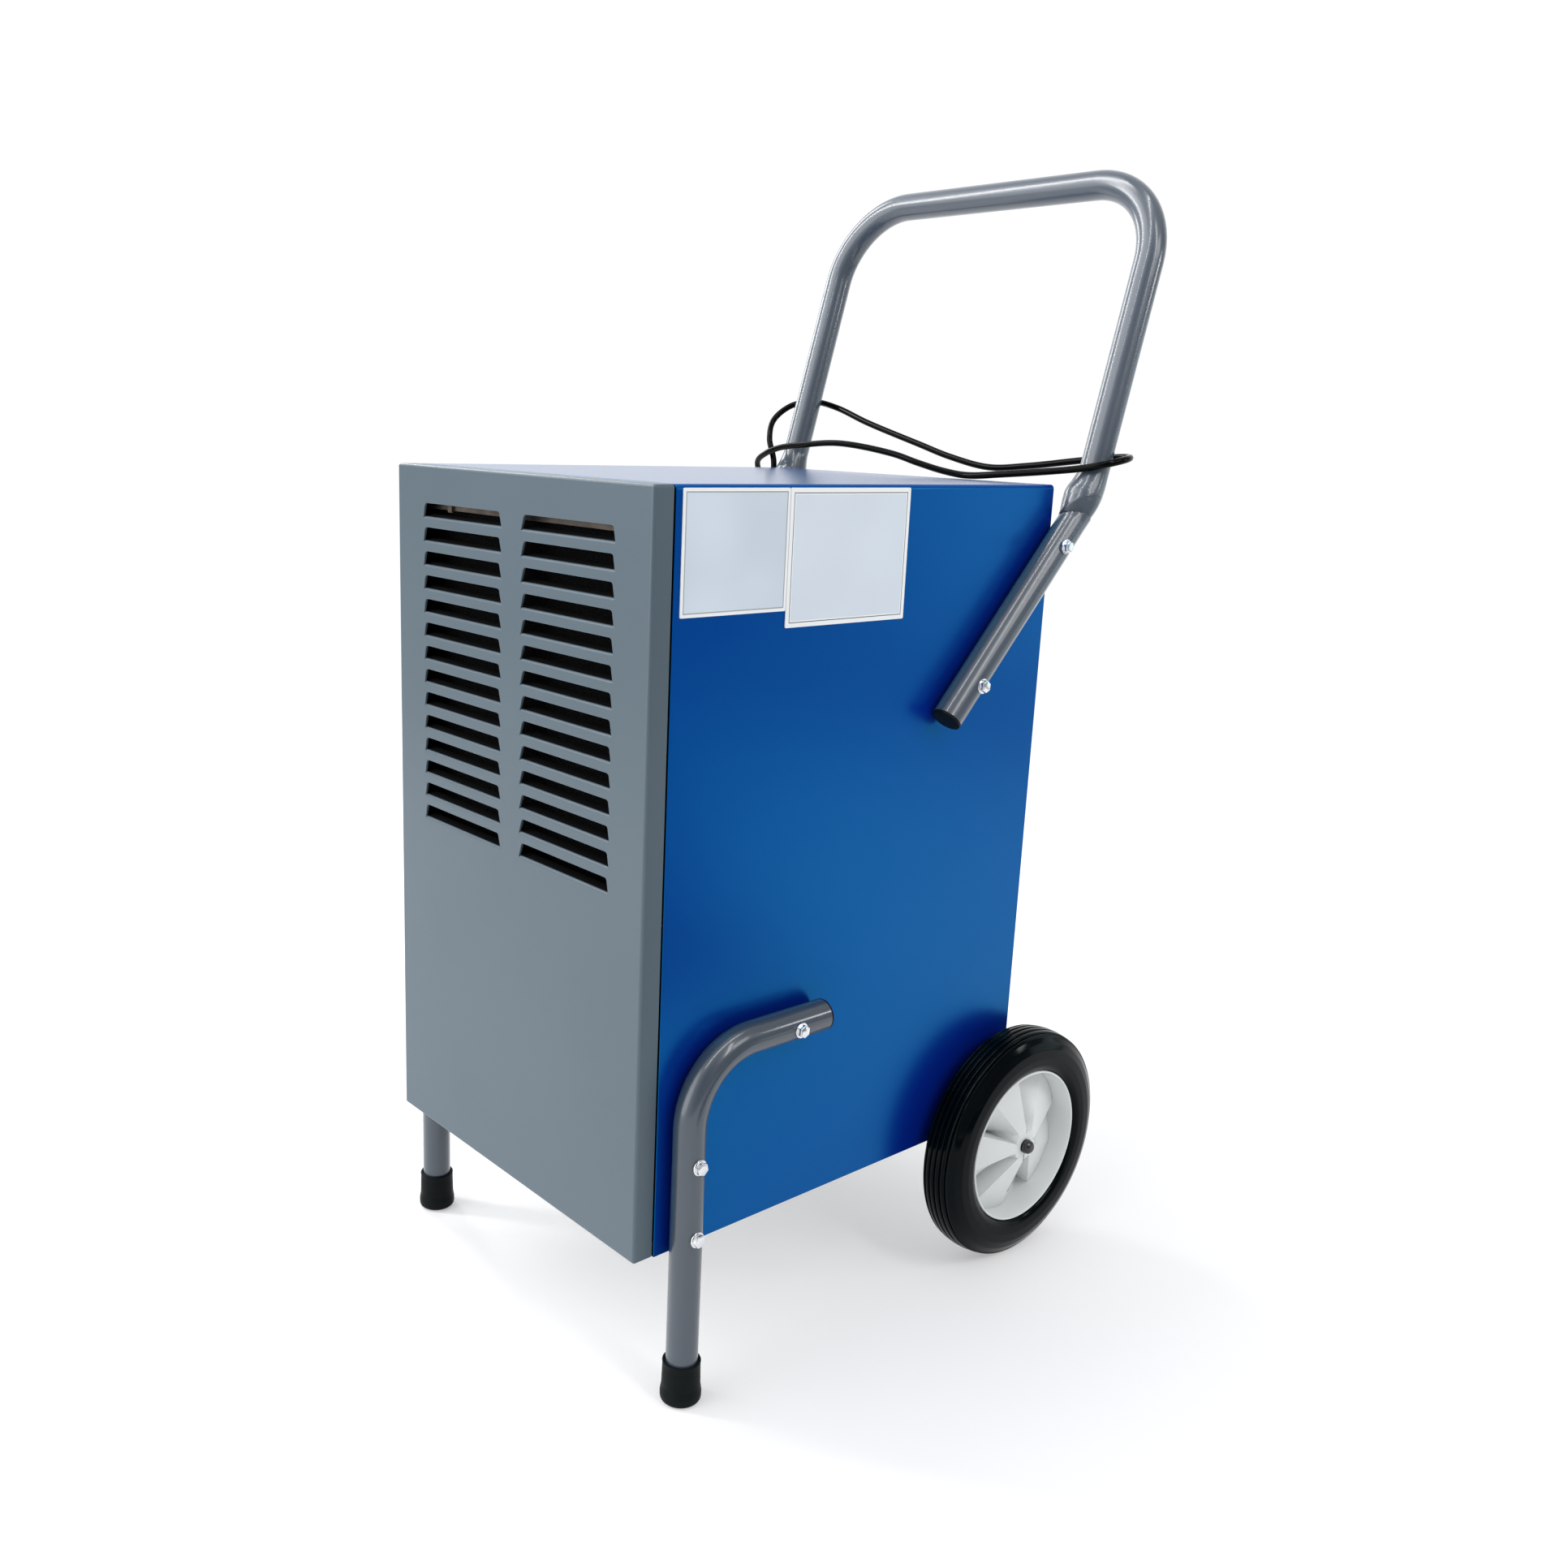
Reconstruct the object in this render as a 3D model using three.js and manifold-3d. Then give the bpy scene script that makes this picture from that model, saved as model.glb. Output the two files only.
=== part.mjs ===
// Wheeled commercial dehumidifier: a sheet-steel cabinet on two wheels and two tube legs,
// with a bent-tube handle, and its refrigeration circuit, fan and water tank inside.
// Units are millimetres. +Z is up, -Y is the louvred front, +X is the side with the labels.
// The origin is on the floor, at the middle of the machine's plan.

import * as THREE from 'three';
import { mergeVertices } from 'three/addons/utils/BufferGeometryUtils.js';
import Module from 'manifold-3d';

const wasm = await Module();
wasm.setup();

// ---------------------------------------------------------------- driving dimensions

const GAP = 0.3;                      // clearance between pieces that touch
const SHEET = 2;                      // casing sheet thickness
const CABINET = { halfWidth: 175, front: -284, rear: 162, bottom: 126, top: 717 };
const FRONT_RETURN = 18;              // depth of the front tray's folded edge
const CASING_SEAM = 1.2;              // open seam between the front tray and the blue casing
const LOUVRE = {
  rows: 14, pitch: 20, height: 11, firstTop: 686,
  innerBottom: 13.7, innerTop: 17, outerBottom: 132.2, outerTop: 129.5,
  cornerRadius: 3, flapLean: 72, flapThickness: 1.4,
};
const TUBE = { radius: 13, wall: 2, sides: 10 };
const TUBE_X = CABINET.halfWidth + TUBE.radius + GAP;
const HANDLE = {
  end: [24.6, 526], elbow: [193, 707], top: [271, 980.6],
  elbowRadius: 45, cornerRadius: 75, bolts: [[51.6, 553], [149.9, 666]],
};
const LEG = {
  y: -243, foot: 8.3, topZ: 294, topEnd: -106, bendRadius: 60,
  bolts: [[-141, 293.5], [-243, 207], [-243, 146]],
};
const FOOT = { height: 35.5, topRadius: 15.4, baseRadius: 16.6, edge: 2.5 };
const BOLT = { radius: 3, head: 5.2, headHeight: 3.6, washer: 6.4 };
const WHEEL = { x: 199, y: 149, z: 110, radius: 110, width: 43, rim: 73 };
const SPOKE = {
  count: 5, firstEdge: 32.8, land: 37.6, slope: 34.4, boss: 15, crown: 4, rimDepth: 25, floorDepth: 36,
  wall: 3,
};
const AXLE = { radius: 6, end: 216.7, capRadius: 6.8, capEnd: 225 };
const DECK_Z = 396;                   // shelf between the air path and the tank bay
const FAN = { z: 590, opening: 108, blade: 98, hub: 27 };
const TANK = { halfWidth: 146, front: -40, rear: 163, bottom: 142, top: 374, wall: 3 };
const PANEL = { x: 28, z: 436, halfWidth: 96, halfHeight: 25 };
const GLAND = { x: -130, z: 436, thread: 8, flange: 13, length: 40 };
const CORD_RADIUS = 3.15;

// ---------------------------------------------------------------- materials

function finish(color, roughness, metalness) {
  return new THREE.MeshStandardMaterial({ color, roughness, metalness });
}

const BLUE_PAINT = finish(0x14549a, 0.28, 0.1);
const GREY_PAINT = finish(0x7a8893, 0.5, 0.1);
const TUBE_PAINT = finish(0x6c7583, 0.3, 0.5);
const BLACK_RUBBER = finish(0x171b1d, 0.8, 0);
const BLACK_PLASTIC = finish(0x1c1f21, 0.5, 0);
const WHITE_PLASTIC = finish(0xd8dadb, 0.45, 0);
const LABEL_FILM = finish(0xced6de, 0.4, 0);
const ZINC = finish(0xc8ccd0, 0.3, 0.9);
const STEEL = finish(0x8d9296, 0.4, 0.8);
const COPPER = finish(0xb4673f, 0.35, 0.9);
const ALUMINIUM = finish(0xb9bdc1, 0.4, 0.8);
const FOAM = finish(0x16181a, 0.95, 0);
const COMPRESSOR_PAINT = finish(0x15171a, 0.35, 0.2);
const TANK_PLASTIC = finish(0xc3c9cc, 0.4, 0);
const RED_PLASTIC = finish(0xb3261d, 0.4, 0);

// ---------------------------------------------------------------- shape helpers

function outline(points) {
  return new THREE.Shape(points.map(([a, b]) => new THREE.Vector2(a, b)));
}

function rectangle(a0, a1, b0, b1) {
  return outline([[a0, b0], [a1, b0], [a1, b1], [a0, b1]]);
}

function circle(radius, sides, a = 0, b = 0) {
  const points = [];
  for (let i = 0; i < sides; i += 1) {
    const angle = (2 * Math.PI * i) / sides;
    points.push([a + radius * Math.cos(angle), b + radius * Math.sin(angle)]);
  }
  return outline(points);
}

function prism(shape, length) {
  return new THREE.ExtrudeGeometry(shape, { depth: length, bevelEnabled: false, curveSegments: 3 });
}

const AXES = {
  X: [[0, 1, 0], [0, 0, 1], [1, 0, 0]],
  Y: [[1, 0, 0], [0, 0, 1], [0, -1, 0]],
};

function turned(geometry, axis) {
  const [a, b, c] = AXES[axis].map((v) => new THREE.Vector3(...v));
  return geometry.applyMatrix4(new THREE.Matrix4().makeBasis(a, b, c));
}

// A prism between two stations on X; the shape is drawn in (y, z).
function prismX(shape, x0, x1) {
  return turned(prism(shape, x1 - x0), 'X').translate(x0, 0, 0);
}

// A prism between two stations on Y; the shape is drawn in (x, z).
function prismY(shape, y0, y1) {
  return turned(prism(shape, y1 - y0), 'Y').translate(0, y1, 0);
}

// A prism between two stations on Z; the shape is drawn in (x, y).
function prismZ(shape, z0, z1) {
  return prism(shape, z1 - z0).translate(0, 0, z0);
}

function block(x0, x1, y0, y1, z0, z1) {
  const box = new THREE.BoxGeometry(x1 - x0, y1 - y0, z1 - z0);
  return box.translate((x0 + x1) / 2, (y0 + y1) / 2, (z0 + z1) / 2);
}

function rodX(radius, x0, x1, y, z, sides = 16) {
  return prismX(circle(radius, sides, y, z), x0, x1);
}

function rodY(radius, y0, y1, x, z, sides = 16) {
  return prismY(circle(radius, sides, x, z), y0, y1);
}

function rodZ(radius, z0, z1, x, y, sides = 16) {
  return prismZ(circle(radius, sides, x, y), z0, z1);
}

// A turned shape about the local Z axis, from [radius, height] points listed bottom to top.
function turning(points, segments) {
  const profile = points.map(([radius, height]) => new THREE.Vector2(radius, height));
  return new THREE.LatheGeometry(profile, segments).rotateX(Math.PI / 2);
}

// The same, about X, with the heights running along +X (side 1) or -X (side -1).
function turningX(points, segments, side, y, z) {
  return turning(points, segments).rotateY((side * Math.PI) / 2).translate(0, y, z);
}

function turningY(points, segments, x, z) {
  return turning(points, segments).rotateX(-Math.PI / 2).translate(x, 0, z);
}

// ---------------------------------------------------------------- booleans

function solid(geometry) {
  const bare = new THREE.BufferGeometry();
  bare.setAttribute('position', geometry.getAttribute('position'));
  bare.setIndex(geometry.getIndex());
  const merged = mergeVertices(bare, 1e-4);
  const index = Array.from(merged.getIndex().array);
  const faces = [];
  for (let i = 0; i < index.length; i += 3) {
    const [a, b, c] = index.slice(i, i + 3);
    if (a !== b && b !== c && c !== a) {
      faces.push(a, b, c);
    }
  }
  const vertProperties = new Float32Array(merged.getAttribute('position').array);
  return new wasm.Manifold(new wasm.Mesh({ numProp: 3, vertProperties, triVerts: new Uint32Array(faces) }));
}

function geometryOf(manifold) {
  const mesh = manifold.getMesh();
  const geometry = new THREE.BufferGeometry();
  geometry.setAttribute('position', new THREE.BufferAttribute(mesh.vertProperties, 3));
  geometry.setIndex(new THREE.BufferAttribute(mesh.triVerts, 1));
  geometry.computeVertexNormals();
  return geometry;
}

function join(...geometries) {
  return geometryOf(geometries.map(solid).reduce((whole, piece) => whole.add(piece)));
}

function cut(geometry, ...tools) {
  return geometryOf(tools.map(solid).reduce((whole, tool) => whole.subtract(tool), solid(geometry)));
}

// ---------------------------------------------------------------- bent tubes

// Stations along a path of straights and round bends, for extruding a section along it.
class BentPath extends THREE.Curve {
  constructor(vertices, radii, bendStep = 15) {
    super();
    this.points = [];
    this.tangents = [];
    const at = vertices.map((v) => new THREE.Vector3(...v));
    const leg = (i) => at[i + 1].clone().sub(at[i]).normalize();
    this.add(at[0], leg(0));
    for (let i = 1; i < at.length - 1; i += 1) {
      this.bend(at[i], leg(i - 1), leg(i), radii[i - 1], bendStep);
    }
    this.add(at[at.length - 1], leg(at.length - 2));
  }

  add(point, tangent) {
    this.points.push(point.clone());
    this.tangents.push(tangent.clone());
  }

  bend(vertex, before, after, radius, bendStep) {
    const angle = before.angleTo(after);
    const setback = radius * Math.tan(angle / 2);
    const start = vertex.clone().addScaledVector(before, -setback);
    const inward = after.clone().addScaledVector(before, -after.dot(before)).normalize();
    const steps = Math.max(2, Math.round(THREE.MathUtils.radToDeg(angle) / bendStep));
    for (let k = 0; k <= steps; k += 1) {
      const a = (angle * k) / steps;
      const point = start.clone().addScaledVector(before, radius * Math.sin(a));
      point.addScaledVector(inward, radius * (1 - Math.cos(a)));
      const tangent = before.clone().multiplyScalar(Math.cos(a)).addScaledVector(inward, Math.sin(a));
      this.add(point, tangent);
    }
  }

  get steps() {
    return this.points.length - 1;
  }

  getPointAt(u) {
    return this.points[Math.round(u * this.steps)].clone();
  }

  getTangentAt(u) {
    return this.tangents[Math.round(u * this.steps)].clone();
  }
}

function alongPath(section, path) {
  return new THREE.ExtrudeGeometry(section, { steps: path.steps, extrudePath: path });
}

function bentTube(vertices, radii) {
  const section = circle(TUBE.radius, TUBE.sides);
  section.holes.push(circle(TUBE.radius - TUBE.wall, TUBE.sides));
  return alongPath(section, new BentPath(vertices, radii));
}

function bentRod(vertices, radii, radius, sides = 8, bendStep = 22) {
  return alongPath(circle(radius, sides), new BentPath(vertices, radii, bendStep));
}

// ---------------------------------------------------------------- the scene graph

const machine = new THREE.Group();

function add(name, geometry, material, parent = machine) {
  const mesh = new THREE.Mesh(geometry, material);
  mesh.name = name;
  parent.add(mesh);
  return mesh;
}

const SIDES = [['right', 1], ['left', -1]];

// ---------------------------------------------------------------- casing

// A louvre slot: wider at the bottom, with its two top corners rounded.
function slotOutline(side) {
  const { height, innerBottom, innerTop, outerBottom, outerTop, cornerRadius } = LOUVRE;
  const shoulder = height - cornerRadius;
  const shape = new THREE.Shape();
  shape.moveTo(side * innerBottom, 0);
  shape.lineTo(side * outerBottom, 0);
  shape.lineTo(side * (outerTop + 0.7), shoulder);
  shape.quadraticCurveTo(side * outerTop, height, side * (outerTop - cornerRadius), height);
  shape.lineTo(side * (innerTop + cornerRadius), height);
  shape.quadraticCurveTo(side * innerTop, height, side * (innerTop - 0.7), shoulder);
  return shape;
}

// The slot's own metal, pushed in about its bottom edge.
function flap(side) {
  const { height, innerBottom, innerTop, outerBottom, outerTop, flapLean, flapThickness } = LOUVRE;
  const root = -1.2;
  const shape = outline([
    [side * (innerBottom + 0.5), root], [side * (outerBottom - 0.5), root],
    [side * (outerTop - 1), height - 0.8], [side * (innerTop + 1), height - 0.8],
  ]);
  return prismY(shape, -flapThickness, 0).rotateX(THREE.MathUtils.degToRad(-flapLean));
}

function frontPanel() {
  const { halfWidth, front, bottom, top } = CABINET;
  const back = front + FRONT_RETURN;
  const tray = cut(
    block(-halfWidth, halfWidth, front, back, bottom, top),
    block(-halfWidth + SHEET, halfWidth - SHEET, front + SHEET, back + 1, bottom + SHEET, top - SHEET),
  );
  const slots = [];
  const flaps = [];
  for (let row = 0; row < LOUVRE.rows; row += 1) {
    const z = LOUVRE.firstTop - LOUVRE.height - row * LOUVRE.pitch;
    for (const side of [1, -1]) {
      slots.push(prismY(slotOutline(side), front - 1, front + SHEET + 1).translate(0, 0, z));
      flaps.push(flap(side).translate(0, front + SHEET + 0.4, z));
    }
  }
  return join(cut(tray, ...slots), ...flaps);
}

// An upright outline with its two top corners rounded.
function archway(halfWidth, bottom, top, corner) {
  const shape = new THREE.Shape();
  shape.moveTo(-halfWidth, bottom);
  shape.lineTo(halfWidth, bottom);
  shape.lineTo(halfWidth, top - corner);
  shape.quadraticCurveTo(halfWidth, top, halfWidth - corner, top);
  shape.lineTo(-halfWidth + corner, top);
  shape.quadraticCurveTo(-halfWidth, top, -halfWidth, top - corner);
  return shape;
}

// The blue casing: two sides and a top in one folded sheet.
function casing() {
  const { halfWidth, front, rear, bottom, top } = CABINET;
  const start = front + FRONT_RETURN + CASING_SEAM;
  const outside = prismY(archway(halfWidth, bottom, top, 4), start, rear);
  const inside = prismY(archway(halfWidth - SHEET, bottom - 1, top - SHEET, 2), start - 1, rear + 1);
  const holes = [...HANDLE.bolts, ...LEG.bolts].map(
    ([y, z]) => rodX(BOLT.radius + GAP, -halfWidth - 1, halfWidth + 1, y, z, 8),
  );
  return cut(outside, inside, ...holes);
}

function basePan() {
  const { halfWidth, front, rear, bottom } = CABINET;
  const edge = halfWidth - SHEET - GAP;
  const start = front + FRONT_RETURN + CASING_SEAM;
  const end = rear - SHEET - GAP;
  const tray = cut(
    block(-edge, edge, start, end, bottom, bottom + 12),
    block(-edge + SHEET, edge - SHEET, start + SHEET, end - SHEET, bottom + SHEET, bottom + 20),
  );
  const brackets = [140, -140].map((x) => axleBracket(x));
  return join(tray, ...brackets);
}

// A folded hanger welded under the base pan, with a hole for the axle.
function axleBracket(x) {
  const { y, z } = WHEEL;
  const bottomOf = z - AXLE.radius - 7;
  const plate = outline([
    [y - 34, CABINET.bottom + 1], [y - 12, bottomOf], [y + 10, bottomOf],
    [y + 10.5, CABINET.bottom + 1],
  ]);
  return cut(prismX(plate, x - 3, x + 3), rodX(AXLE.radius + GAP, x - 4, x + 4, y, z, 12));
}

function rearPanel() {
  const { halfWidth, rear, bottom, top } = CABINET;
  const edge = halfWidth - SHEET - GAP;
  const y0 = rear - SHEET;
  const tankGap = 3;
  return cut(
    prismY(archway(edge, bottom, top - SHEET - GAP, 2), y0, rear),
    rodY(FAN.opening, y0 - 1, rear + 1, 0, FAN.z, 40),
    block(-TANK.halfWidth - tankGap, TANK.halfWidth + tankGap, y0 - 1, rear + 1,
      TANK.bottom - tankGap, TANK.top + tankGap),
    block(PANEL.x - PANEL.halfWidth + 8, PANEL.x + PANEL.halfWidth - 8, y0 - 1, rear + 1,
      PANEL.z - PANEL.halfHeight + 6, PANEL.z + PANEL.halfHeight - 6),
    rodY(GLAND.thread + GAP, y0 - 1, rear + 1, GLAND.x, GLAND.z, 16),
  );
}

function fanGuard() {
  const y0 = CABINET.rear + GAP;
  const wire = 3;
  const pieces = [115, 89, 63, 37].map((radius) => {
    const ring = circle(radius + wire / 2, 24, 0, FAN.z);
    ring.holes.push(circle(radius - wire / 2, 24, 0, FAN.z));
    return prismY(ring, y0, y0 + wire);
  });
  for (const angle of [45, 135]) {
    const bar = block(-116, 116, y0 + 0.4, y0 + wire + 0.4, -wire / 2, wire / 2);
    pieces.push(bar.rotateY(THREE.MathUtils.degToRad(angle)).translate(0, 0, FAN.z));
  }
  return join(...pieces);
}

add('front_panel', frontPanel(), GREY_PAINT);
add('cabinet_casing', casing(), BLUE_PAINT);
add('base_pan', basePan(), STEEL);
add('rear_panel', rearPanel(), GREY_PAINT);
add('fan_guard', fanGuard(), ZINC);

const LABELS = [['side_label_forward', -258.5, -156, 624], ['side_label_rearward', -155.6, -24.6, 611]];
for (const [name, y0, y1, z0] of LABELS) {
  const face = CABINET.halfWidth + GAP;
  add(name, block(face, face + 0.6, y0, y1, z0, 714.5), LABEL_FILM);
}

// ---------------------------------------------------------------- handle and legs

function boltHoles(geometry, bolts, x) {
  const holes = bolts.map(([y, z]) => rodX(BOLT.radius + GAP, x - 20, x + 20, y, z, 8));
  return cut(geometry, ...holes);
}

function handleTube() {
  const corner = (side, [y, z]) => [side * TUBE_X, y, z];
  const vertices = [
    corner(1, HANDLE.end), corner(1, HANDLE.elbow), corner(1, HANDLE.top),
    corner(-1, HANDLE.top), corner(-1, HANDLE.elbow), corner(-1, HANDLE.end),
  ];
  const { elbowRadius, cornerRadius } = HANDLE;
  const tube = bentTube(vertices, [elbowRadius, cornerRadius, cornerRadius, elbowRadius]);
  return boltHoles(boltHoles(tube, HANDLE.bolts, TUBE_X), HANDLE.bolts, -TUBE_X);
}

function legTube(side) {
  const x = side * TUBE_X;
  const vertices = [[x, LEG.y, LEG.foot], [x, LEG.y, LEG.topZ], [x, LEG.topEnd, LEG.topZ]];
  return boltHoles(bentTube(vertices, [LEG.bendRadius]), LEG.bolts, x);
}

// A push-in stopper: a thin flange over the tube's end and a stub inside it.
function tubePlug() {
  const bore = TUBE.radius - TUBE.wall - 0.8;
  return turning([[0, -14], [bore, -14], [bore, GAP], [TUBE.radius, GAP], [TUBE.radius, 2.4],
    [0, 3]], 12);
}

function footCap() {
  const { height, topRadius, baseRadius, edge } = FOOT;
  const bore = TUBE.radius + GAP;
  return turning([[0, 0], [baseRadius - edge, 0], [baseRadius, edge], [baseRadius - 0.3, 9],
    [topRadius + 0.2, 17], [topRadius, height], [bore, height], [bore, LEG.foot - GAP],
    [0, LEG.foot - GAP]], 20);
}

// A pan-head screw with its washer, shank and nut, pointing outwards along +Z.
function boltShape() {
  const outside = TUBE.radius + GAP;
  const inside = -TUBE.radius - GAP - SHEET;
  const { radius, head, headHeight, washer } = BOLT;
  return turning([
    [0, inside - 6], [head, inside - 6], [head, inside - GAP], [radius, inside - GAP],
    [radius, outside], [washer, outside], [head, outside + 1.4], [head, outside + headHeight],
    [0, outside + headHeight + 1],
  ], 8);
}

add('handle_tube', handleTube(), TUBE_PAINT);
for (const [name, side] of SIDES) {
  const x = side * TUBE_X;
  const lean = Math.atan2(HANDLE.elbow[1] - HANDLE.end[1], HANDLE.elbow[0] - HANDLE.end[0]);
  const handlePlug = add(`handle_plug_${name}`, tubePlug(), BLACK_PLASTIC);
  handlePlug.position.set(x, ...HANDLE.end);
  handlePlug.rotation.x = Math.PI / 2 + lean;

  add(`leg_tube_${name}`, legTube(side), TUBE_PAINT);
  const legPlug = add(`leg_plug_${name}`, tubePlug(), BLACK_PLASTIC);
  legPlug.position.set(x, LEG.topEnd, LEG.topZ);
  legPlug.rotation.x = -Math.PI / 2;
  add(`foot_${name}`, footCap(), BLACK_RUBBER).position.set(x, LEG.y, 0);

  const bolts = [['handle', HANDLE.bolts], ['leg', LEG.bolts]];
  for (const [group, places] of bolts) {
    places.forEach(([y, z], i) => {
      const bolt = add(`${group}_bolt_${name}_${i + 1}`, boltShape(), ZINC);
      bolt.position.set(x, y, z);
      bolt.rotation.y = (side * Math.PI) / 2;
    });
  }
}

// ---------------------------------------------------------------- wheels

const HALF_WHEEL = WHEEL.width / 2;

// The tyre about local Z, with its outer face at +HALF_WHEEL.
function tyre() {
  const { radius, rim } = WHEEL;
  const h = HALF_WHEEL;
  const seat = rim + 1;
  return turning([
    [seat, -h + 4], [rim + 6, -h], [rim + 18, -h + 0.5], [radius - 9, -h + 5], [radius, -h + 15],
    [radius, h - 15], [radius - 9, h - 5], [rim + 18, h - 0.5], [rim + 6, h], [seat, h - 4], [seat, -h + 4],
  ], 32);
}

// One folded spoke: a flat land behind its edge, a slope that dips to the wheel's floor under the
// next one, and a wall that closes the step below the edge.
function spoke(start) {
  const { land, slope, boss, crown, rimDepth, floorDepth, wall } = SPOKE;
  const radii = [boss - 3, boss + 3, 43, WHEEL.rim - 2];
  const angles = [0, 2, land / 2, land, land + slope / 2, land + slope];
  const landDepth = (radius) => {
    const reach = (radius - boss) / (WHEEL.rim - boss);
    return crown + (rimDepth - crown) * Math.max(0, reach);
  };
  const faceDepth = (radius, angle) => {
    const dip = radius > boss ? Math.max(0, (angle - land) / slope) : 0;
    return THREE.MathUtils.lerp(landDepth(radius), floorDepth, dip);
  };
  const backDepth = (radius, angle) => {
    const isStep = radius > boss && angle <= 2;
    return (isStep ? floorDepth : faceDepth(radius, angle)) + wall;
  };
  const positions = [];
  for (const depthAt of [faceDepth, backDepth]) {
    for (const radius of radii) {
      for (const angle of angles) {
        const a = THREE.MathUtils.degToRad(start + angle);
        positions.push(radius * Math.cos(a), radius * Math.sin(a), HALF_WHEEL - depthAt(radius, angle));
      }
    }
  }
  const row = angles.length;
  const layer = row * radii.length;
  const faces = [];
  const quad = (a, b, c, d) => faces.push(a, b, c, a, c, d);
  for (let i = 0; i < radii.length - 1; i += 1) {
    for (let j = 0; j < row - 1; j += 1) {
      const a = i * row + j;
      quad(a, a + row, a + row + 1, a + 1);
      quad(a + layer, a + layer + 1, a + layer + row + 1, a + layer + row);
    }
    const first = i * row;
    const last = first + row - 1;
    quad(first, first + layer, first + layer + row, first + row);
    quad(last, last + row, last + row + layer, last + layer);
  }
  for (let j = 0; j < row - 1; j += 1) {
    const outer = (radii.length - 1) * row + j;
    quad(j, j + 1, j + 1 + layer, j + layer);
    quad(outer, outer + layer, outer + layer + 1, outer + 1);
  }
  const geometry = new THREE.BufferGeometry();
  geometry.setAttribute('position', new THREE.Float32BufferAttribute(positions, 3));
  geometry.setIndex(faces);
  return geometry;
}

function wheelHub() {
  const { rim } = WHEEL;
  const h = HALF_WHEEL;
  const wall = SPOKE.wall + 0.5;
  const barrel = turning([
    [rim - wall, -h + 4], [rim, -h + 4], [rim, h - 3.4], [rim - wall, h - 3.4], [rim - wall, -h + 4],
  ], 32);
  const boss = turning([[0, -h + 1], [SPOKE.boss, -h + 1], [SPOKE.boss, h - 7], [SPOKE.boss - 3, h - 3.5],
    [0, h - 3.5]], 20);
  const spokes = [];
  for (let i = 0; i < SPOKE.count; i += 1) {
    spokes.push(spoke(SPOKE.firstEdge + (360 / SPOKE.count) * i));
  }
  return cut(join(barrel, boss, ...spokes), rodZ(AXLE.radius + GAP, -h - 1, h + 1, 0, 0, 16));
}

for (const [name, side] of SIDES) {
  const wheel = new THREE.Group();
  wheel.position.set(side * WHEEL.x, WHEEL.y, WHEEL.z);
  wheel.rotation.y = (side * Math.PI) / 2;
  machine.add(wheel);
  add(`tyre_${name}`, tyre(), BLACK_RUBBER, wheel);
  add(`wheel_hub_${name}`, wheelHub(), WHITE_PLASTIC, wheel);
  const cap = turningX([[0, AXLE.end + GAP], [AXLE.capRadius, AXLE.end + GAP],
    [AXLE.capRadius, AXLE.capEnd - 3], [AXLE.capRadius - 2.5, AXLE.capEnd - 0.7], [0, AXLE.capEnd]],
  16, side, WHEEL.y, WHEEL.z);
  add(`axle_cap_${name}`, cap, BLACK_PLASTIC);
}
add('axle', rodX(AXLE.radius, -AXLE.end, AXLE.end, WHEEL.y, WHEEL.z, 16), STEEL);

// ---------------------------------------------------------------- air path

function coil(y0, y1, tubeRows) {
  const half = 132;
  const bottom = DECK_Z + 8;
  const height = 282;
  const pieces = [block(-half, half, y0, y1, bottom, bottom + height)];
  const step = height / tubeRows;
  for (let row = 0; row < tubeRows; row += 1) {
    const z = bottom + step * (row + 0.5);
    const ends = [(y0 * 3 + y1) / 4, (y0 + y1 * 3) / 4];
    const reach = half + 11;
    for (const side of [1, -1]) {
      const vertices = [[side * (half - 2), ends[0], z], [side * reach, ends[0], z],
        [side * reach, ends[1], z], [side * (half - 2), ends[1], z]];
      pieces.push(bentRod(vertices, [9, 9], 4, 6, 45));
    }
  }
  return join(...pieces);
}

// Places of the discharge and suction pipes through the deck.
const PIPE_PASSES = [[160, -143], [-160, -216]];
const SPOUT = { x: 100, y: -112, radius: 5 };

function dripTray() {
  const z = DECK_Z + SHEET + GAP;
  const tray = cut(
    block(-152, 152, -252, -98, z, z + 14),
    block(-150, 150, -250, -100, z + 1.5, z + 20),
  );
  const { x, y, radius } = SPOUT;
  const low = DECK_Z - 15;
  const spout = bentRod([[x, y, z + 1], [x, y, low], [x, -10, low]], [11], radius, 8);
  const bore = bentRod([[x, y, z + 6], [x, y, low], [x, -4, low]], [11], radius - 1.5, 8);
  return cut(join(tray, spout), bore);
}

function deck() {
  const edge = CABINET.halfWidth - SHEET - GAP;
  const front = CABINET.front + FRONT_RETURN + CASING_SEAM;
  return cut(
    block(-edge, edge, front, CABINET.rear - SHEET - GAP, DECK_Z, DECK_Z + SHEET),
    rodZ(SPOUT.radius + GAP, DECK_Z - 1, DECK_Z + SHEET + 1, SPOUT.x, SPOUT.y, 16),
    ...PIPE_PASSES.map(([x, y]) => rodZ(9, DECK_Z - 1, DECK_Z + SHEET + 1, x, y, 12)),
  );
}

function fanShroud() {
  const y = 112;
  const throat = 104;
  const plate = rectangle(-150, 150, 462, 712);
  plate.holes.push(circle(throat, 32, 0, FAN.z));
  const collar = circle(throat + 3, 32, 0, FAN.z);
  collar.holes.push(circle(throat, 32, 0, FAN.z));
  return join(prismY(plate, y, y + SHEET), prismY(collar, y + 1, 150));
}

function fanMotor() {
  return cut(
    turningY([[0, 18], [20, 18], [24, 24], [44, 28], [44, 84], [30, 90], [0, 90]], 24, 0, FAN.z),
    rodY(4 + GAP, 50, 95, 0, FAN.z, 12),
  );
}

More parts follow.
